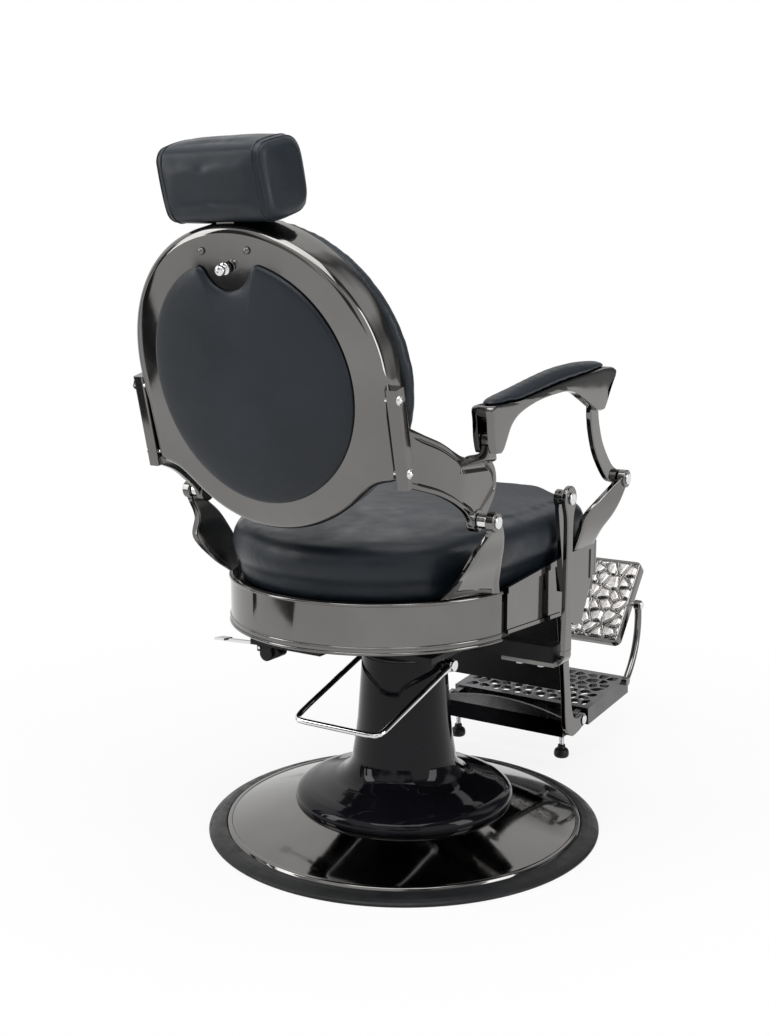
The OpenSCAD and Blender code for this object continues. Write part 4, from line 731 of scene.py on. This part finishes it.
thread = np.stack([5 - 0.55 * (turn % 2), 46.5 + 1.5 * turn], 1)
nut = [[5, 66], [9.4, 66], [10, 67], [10, 72], [9.4, 73], [5, 73]]
stem_place = (116, -391, 0)
stem = joined(turned(np.concatenate([[[0, 46]], thread, [[0, 87.5]]]), stem_place, steps=28),
              turned(rounded(nut, 0.6, closed=True), stem_place, wrap=True, steps=6))
make("foot_threads", mirrored(stem), steel, "leg_rest", ["foot_stems"], even=False)
pad_line = rounded([[0, 20], [12, 20], [14.6, 23.5], [14.6, 31], [12.5, 36], [8, 38.5], [6.8, 45.9], [0, 45.9]],
                   1.8)
make("foot_rubbers", mirrored(turned(pad_line, stem_place, steps=40)), rubber, "leg_rest", ["platform_feet"])

# ---- Flip plate and its arms
# Two curved steel tubes run up from the platform's front corners and hold the flip plate's stub pins. The
# plate is cast aluminium, its tread raised in polished pebbles. The grooves between the pebbles keep the
# darker nickel finish as painted shade.
t = np.radians(np.linspace(167.4, 233.4, 40))
bow_r = 148.6
curve = np.stack([156.5 + 0 * t, -510 + bow_r * np.cos(t), 242.7 + bow_r * np.sin(t)], 1)
arms = joined(round_bar(curve, 7.2, flat=(1, 0, 0), sides=24), drum(plate_pin, 150.2, 163.4, 10, 1.6),
              drum((-601.5, 125.6), 150.2, 163.4, 9, 1.6))
make("flip_tubes", mirrored(arms), nickel, "leg_rest", ["flip_arms"])
tread = surface("cast_tread", (0.47, 0.455, 0.445), metal=1.0, gloss=0.27, patches=0.25, patch_scale=60, haze=0.4,
                haze_scale=120, relief=0.1, relief_scale=160)
wide, long, border, corner_r, gap_half = 142, 95, 6, 14, 1.2
face_high, pebble_high, pebble_flank = 6.4, 4.2, 4.2


def with_sides(half, count):
    """Places across the plate, with four more at each edge for the points that turn down over its side."""
    return np.concatenate([[-half] * 4, np.linspace(-half, half, count), [half] * 4])


def turn_down(count):
    """How far below the face each of those places lies."""
    side = [17, 12, 5, 1.5]
    return np.concatenate([side, np.zeros(count), side[::-1]])


x, y = np.meshgrid(with_sides(wide, 190), with_sides(long, 128), indexing="ij")
i, j = np.meshgrid(np.arange(-1, 12), np.arange(-1, 7), indexing="ij")
w, h = 2 * wide - 16, 2 * long - 16
sx = ((i + 0.5 + (j % 2) * 0.5 - 0.25 + 0.24 * np.sin(np.radians(137 * i + 211 * j))) * w / 11 - w / 2).ravel()
sy = ((j + 0.5 + 0.26 * np.sin(np.radians(263 * i + 97 * j + 40))) * h / 6 - h / 2).ravel()
far = np.sort(np.hypot(x[..., None] - sx, y[..., None] - sy), axis=2)
to_side = np.minimum(wide - border - np.abs(x), long - border - np.abs(y))
swell = np.clip((np.minimum((far[..., 1] - far[..., 0]) / 2, to_side) - gap_half) / pebble_flank, 0, 1)
z = (face_high + pebble_high * (1 - (1 - swell) ** 2.2)
     - np.maximum(turn_down(190)[:, None], turn_down(128)[None, :]))
past_x, past_y = np.abs(x) - wide + corner_r, np.abs(y) - long + corner_r
near = np.minimum(1, corner_r / np.maximum(np.hypot(np.maximum(past_x, 0), np.maximum(past_y, 0)), 1e-6))
in_corner = (past_x > 0) & (past_y > 0)
x = np.where(in_corner, np.sign(x) * (wide - corner_r + past_x * near), x)
y = np.where(in_corner, np.sign(y) * (long - corner_r + past_y * near), y)
tilt = math.radians(50.1)
sheet = np.stack([x, plate_pin[0] + y * math.cos(tilt) + z * math.sin(tilt),
                  plate_pin[1] - y * math.sin(tilt) + z * math.cos(tilt)], 2)
rows, cols = x.shape
k = np.arange(rows * cols).reshape(rows, cols)
rim = np.concatenate([k[:-1, 0], k[-1, :-1], k[:0:-1, -1], k[0, :0:-1]])
faces = grid(rows, cols, False, False) + [rim[::-1].tolist()]
treads = make("flip_tread", (sheet.reshape(-1, 3), faces), nickel, "flip_plate", ["flip_plate"],
              crisp=60, even=False)
treads.data.materials.append(tread)
centres = np.empty(3 * len(treads.data.polygons))
treads.data.polygons.foreach_get("center", centres)
centres = centres.reshape(-1, 3) * 1000 - (0, *plate_pin)
over = centres[:, 1] * math.sin(tilt) + centres[:, 2] * math.cos(tilt)
# Every face below the pebbles' tops (grooves, turned-down edges, underside) keeps the darker nickel as painted
# shade.
treads.data.polygons.foreach_set("material_index", (over > 7.9).astype(int))

# ---- Leather
# Every cover is blue-black vinyl leather with a satin face: a fine grain, and shallow creases where the
# stuffing pulls it.
leather = surface("black_leather", (0.0085, 0.0128, 0.0185), gloss=0.40, specular=0.33, patches=0.22,
                  patch_scale=7, haze=0.2, haze_scale=30, relief=0.25, relief_scale=1300, depth=0.0003)
tree = leather.node_tree
folds = noise(tree, tree.nodes["Texture Coordinate"].outputs["Object"], 13, 2.5, 0.45, (1, 1, 2.2))
crease = add(tree, "Bump", {"Strength": 0.22, "Distance": 0.004, "Height": folds})
tree.links.new(crease.outputs[0], tree.nodes["Bump"].inputs["Normal"])


def points_of(mesh):
    """The places of a mesh's points as rows of three."""
    xyz = np.empty(3 * len(mesh.vertices))
    mesh.vertices.foreach_get("co", xyz)
    return xyz.reshape(-1, 3)


def settled(obj):
    """The object's mesh as its modifiers leave it."""
    return bpy.data.meshes.new_from_object(obj.evaluated_get(bpy.context.evaluated_depsgraph_get()))


def stuffed(name, part, body, stands_for, swell, voxel, give):
    """A cover blown up by its stuffing. The form is meshed afresh and run as cloth under pressure for 20 frames.
    The outward part of each point's move is kept, up to swell times the share that give reads off its place, and
    the result is smoothed."""
    obj = make(name, part, leather, body, stands_for, crisp=180, even=False)
    even = obj.modifiers.new("even mesh", "REMESH")
    even.mode = "VOXEL"
    even.voxel_size = voxel / 1000
    relax = obj.modifiers.new("relax", "SMOOTH")
    relax.iterations = 6
    mesh = settled(obj)
    obj.modifiers.clear()
    obj.data = mesh
    start = points_of(mesh)
    cloth = obj.modifiers.new("cover", "CLOTH")
    rule = cloth.settings
    rule.quality, rule.mass = 5, 0.3
    rule.tension_stiffness = rule.compression_stiffness = 15
    rule.bending_stiffness = 0.5
    rule.use_pressure = True
    rule.uniform_pressure_force = 4
    rule.effector_weights.gravity = 0
    cloth.collision_settings.use_collision = False
    cloth.point_cache.frame_start, cloth.point_cache.frame_end = 1, 20
    for tick in range(1, 21):
        scene.frame_set(tick)
    blown = settled(obj)
    move = points_of(blown) - start
    outward = np.empty(start.size)
    mesh.vertices.foreach_get("normal", outward)
    outward = outward.reshape(-1, 3)
    rise = (move * outward).sum(1, keepdims=True)
    move = np.clip(rise, 0, None) * outward + 0.3 * (move - rise * outward)
    far = np.linalg.norm(move, axis=1, keepdims=True)
    move *= np.minimum(1, swell / 1000 / np.maximum(far, 1e-9)) * give(start * 1000)[:, None]
    obj.modifiers.clear()
    mesh.vertices.foreach_set("co", (start + move).ravel())
    bpy.data.meshes.remove(blown)
    scene.frame_set(1)
    obj.modifiers.new("soften", "SMOOTH").iterations = 5
    mesh = settled(obj)
    obj.modifiers.clear()
    obj.data = mesh
    mesh.materials.clear()
    mesh.materials.append(leather)
    mesh.shade_smooth()
    finer = obj.modifiers.new("finer", "SUBSURF")
    finer.levels = finer.render_levels = 1
    return obj


def welt(name, cushion, path, radius, body):
    """A thin sewn seam: a cord laid on the cushion's nearest points along a closed path."""
    skin_points = points_of(cushion.data) * 1000
    near = np.argmin(((path[:, None] - skin_points[None]) ** 2).sum(2), axis=1)
    line = skin_points[near]
    for _ in range(3):
        line = (np.roll(line, 1, 0) + 2 * line + np.roll(line, -1, 0)) / 4
    along = np.roll(line, -1, 0) - np.roll(line, 1, 0)
    along /= np.linalg.norm(along, axis=1, keepdims=True)
    out = line - line.mean(0)
    out -= (out * along).sum(1, keepdims=True) * along
    out /= np.linalg.norm(out, axis=1, keepdims=True)
    third = np.cross(along, out)
    a = np.linspace(0, 2 * np.pi, 8, endpoint=False)
    tube = (line + 0.2 * radius * out)[:, None] + radius * (np.cos(a)[None, :, None] * out[:, None]
                                                           + np.sin(a)[None, :, None] * third[:, None])
    return make(name, rings(tube, wrap=True), leather, body, even=False)


def ease(value, low, high):
    """Rises smoothly from 0 at low to 1 at high."""
    t = np.clip((value - low) / (high - low), 0, 1)
    return t * t * (3 - 2 * t)


# ---- Seat cushion
# A deep block of foam under a sewn cover sits inside the ring on its board. Its plan is a half circle that
# runs on to a squared front, its sides bulge over the ring, and its top is crowned.
def hull(circles, count):
    """The tight band round circles given as (x, y, radius), as evenly spaced points."""
    t = np.linspace(0, 2 * np.pi, 1440, endpoint=False)
    n = np.stack([np.cos(t), np.sin(t)], 1)
    c = np.asarray(circles, float)
    best = np.argmax(n @ c[:, :2].T + c[:, 2], axis=1)
    p = c[best, :2] + c[best, 2:] * n
    p = np.concatenate([p, p[:1]])
    run = np.concatenate([[0], np.cumsum(np.linalg.norm(np.diff(p, axis=0), axis=1))])
    s = np.linspace(0, run[-1], count, endpoint=False)
    return np.stack([np.interp(s, run, p[:, 0]), np.interp(s, run, p[:, 1])], 1)


seat_plan = hull([(0, ring_y, 246), (-206, -183.3, 40), (206, -183.3, 40), (-105, -272, 40), (105, -272, 40),
                  (0, -285, 40)], 240)
share, inset, height = np.array([
    (0, 19, 459.8), (0.5, 19, 459.8), (0.9, 19, 459.8), (1, 19, 460), (1, 15, 463), (1, 14, 470), (1, 14, 488),
    (1, 8, 496), (1, 3, 505), (1, 1.5, 515), (1, 1.5, 528), (1, 2.5, 539), (1, 6, 549), (1, 12, 557), (1, 21, 562.5),
    (0.86, 21, 566), (0.7, 21, 568.5), (0.5, 21, 570.5), (0.25, 21, 571.8), (0, 21, 572)]).T
flat = share[:, None, None] * drawn_in(seat_plan, inset)
drop = 0.075 * np.clip(flat[..., 1] - 110, 0, None) * ease(height, 515, 555)[:, None]
block = rings(np.concatenate([flat, (height[:, None] - drop)[..., None]], 2))
stuffed("seat_cover", block, "seat", ["seat_cushion"], 6, 6,
        lambda p: ease(p[:, 2], 484, 508) * (1 - 0.65 * ease(p[:, 1], 120, 200) * ease(p[:, 2], 535, 550)))

# ---- Back pads
# A round foam cushion on a plywood disc fills the shell's mouth and bulges past its rim. On the shell's rear
# face lies a thin padded disc, notched at its top round the headrest's screw.
pad_line = [(0, 0.2), (120, 0.2), (190, 0.2), (212, 0.4), (217.5, 2.5), (220, 8), (220.6, 14), (218.5, 21),
            (212, 27), (199, 31.5), (172, 34), (132, 35.5), (60, 37), (0, 37.4)]
board_w = 84.5
round_pad, pad_faces = turned(pad_line, (0, board_w, middle[1]), (0, -1, 0), steps=200)
round_pad[:, 0] *= 1.04


def before_board(p):
    """How far points lie in front of the plywood disc."""
    return board_w - (math.cos(lean) * (p[:, 1] - back_pin[0]) - math.sin(lean) * (p[:, 2] - back_pin[1]))


stuffed("back_cover", leaned((round_pad, pad_faces)), "back", ["back_cushion"], 6, 6,
        lambda p: ease(before_board(p), 1, 8))
notch_x, notch_z, disc_r = 54.28, 156.875, 180
lip = math.degrees(math.atan2(notch_z, notch_x))
disc = whole(np.concatenate([arc(0, 0, disc_r, -90, lip, 90), arc(notch_x, notch_z, 14, lip, 156.9, 12)[1:],
                             arc(0, disc_r, 45, -23.1, -90, 12)[1:]])) * (0.953, 1) + middle
disc_rows = [(0, 1, 143.4), (0.5, 1, 143.4), (0.95, 1, 143.4), (1, 0.8, 143.4), (1, 0, 144.4), (1, 0, 145.6),
             (1, 0.6, 147.2), (1, 1.8, 148.6), (1, 3.6, 149.7), (1, 6, 150.5), (0.96, 6, 151.4), (0.92, 6, 152),
             (0.85, 6, 152.6), (0.75, 6, 153.1), (0.6, 6, 153.5), (0.45, 6, 153.8), (0.3, 6, 153.9),
             (0.15, 6, 154), (0, 6, 154)]
panel = make("rear_cover", leaned(dished(disc, disc_rows, middle, across_r)), leather, "back", ["rear_panel"],
             crisp=180, even=False)

# ---- Headrest cushion
# A stubby roll with a rounded square section. Its cover is a sleeve closed by an end cap at each side, and a
# narrow band is sewn in between two seams.
section = rounded([(48, 470), (148, 468), (149, 575), (50, 575)], [34, 30, 27, 36], closed=True, n=10)
span = np.array([(-93, 22), (-92.6, 13), (-91.4, 7), (-89, 3), (-84.5, 0.8), (-79, 0)])
span = np.concatenate([span, [(x, 0) for x in np.linspace(-60, 60, 9)], (span * (-1, 1))[::-1]])
shape = drawn_in(section, span[:, 1])
roll_form = np.concatenate([0 * shape[..., :1] + span[:, 0][:, None, None], shape], 2)
roll_cover = stuffed("headrest_cover", leaned(rings(roll_form, caps=True)), "headrest", ["headrest_cushion"], 3.5,
                     4.2, lambda p: 1 + 0 * p[:, 0])
path = smooth_line(section[::2], 4, closed=True)
for side, sign in (("left", 1), ("right", -1)):
    for number, x in (("inner", 77), ("outer", 87)):
        ring = leaned((np.concatenate([0 * path[:, :1] + sign * x, path], 1), None))[0]
        welt("headrest_seam_" + number + "_" + side, roll_cover, ring, 1.1, "headrest")

# ---- Arm pads
# A slim crowned pad in leather is screwed to the top of each armrest from below.
crown = [(0.06, 0), (0.94, 0), (0.985, 0.06), (1, 0.22), (0.985, 0.42), (0.93, 0.64), (0.82, 0.83), (0.66, 0.96),
         (0.5, 1), (0.34, 0.96), (0.18, 0.83), (0.07, 0.64), (0.015, 0.42), (0, 0.22), (0.015, 0.06)]
top_y = np.array([253, 250, 242, 222, 178, 110, 45, -31, -88, -115, -125, -130])
half_width = np.array([4, 8.5, 12.5, 15.2, 16.2, 16.4, 16.4, 16.4, 15.6, 12.8, 8.5, 4])
rise = np.array([3, 6, 9, 12.5, 17, 19.5, 20, 18, 13, 9, 6, 3]) - 1


def rail_top(y):
    """The height of the armrest's top at y."""
    return np.interp(-y, [-256, -175, -45, 107, 131], [767, 769.3, 786, 799.8, 800])


for side, middle_x in (("left", 293.5), ("right", -293.5)):
    form = blade([[(middle_x - w, y, z), (middle_x + w, y, z), (middle_x + w, y, z + h), (middle_x - w, y, z + h)]
                  for y, w, z, h in zip(top_y, half_width, rail_top(top_y) + 0.4, rise)], 6, crown)
    stuffed("arm_cover_" + side, form, "arm_" + side, ["arm_pad_" + side], 2.5, 3.4,
            lambda p: ease(p[:, 2] - rail_top(p[:, 1]), 0.8, 5))

# ---- Calf pad
# A padded board hangs behind the sitter's calves between the leg bars.
slope = math.radians(-5.5)
pad_plan = rounded([(-128, 7), (128, 7), (128, 169), (-128, 169)], 26, closed=True, n=8)
share, inset, depth = np.array([
    (0, 1, -6.5), (0.6, 1, -6.5), (1, 1, -6.5), (1, 0, -8), (1, 0, -14), (1, 0.8, -22), (1, 3, -29), (1, 7, -34.5),
    (1, 13, -37.5), (0.8, 13, -39), (0.55, 13, -40), (0.3, 13, -40.6), (0, 13, -41)]).T
centre = np.array([0, 88])
flat = centre + share[:, None, None] * (drawn_in(pad_plan, inset) - centre)
y, z = depth[:, None] + 0 * flat[..., 0], flat[..., 1]
calf = np.stack([flat[..., 0], -336 + y * math.cos(slope) - z * math.sin(slope),
                 174 + y * math.sin(slope) + z * math.cos(slope)], 2)
stuffed("calf_cover", rings(calf), "leg_rest", ["calf_pad"], 4, 5, lambda p: ease(-p[:, 1], 345, 352))
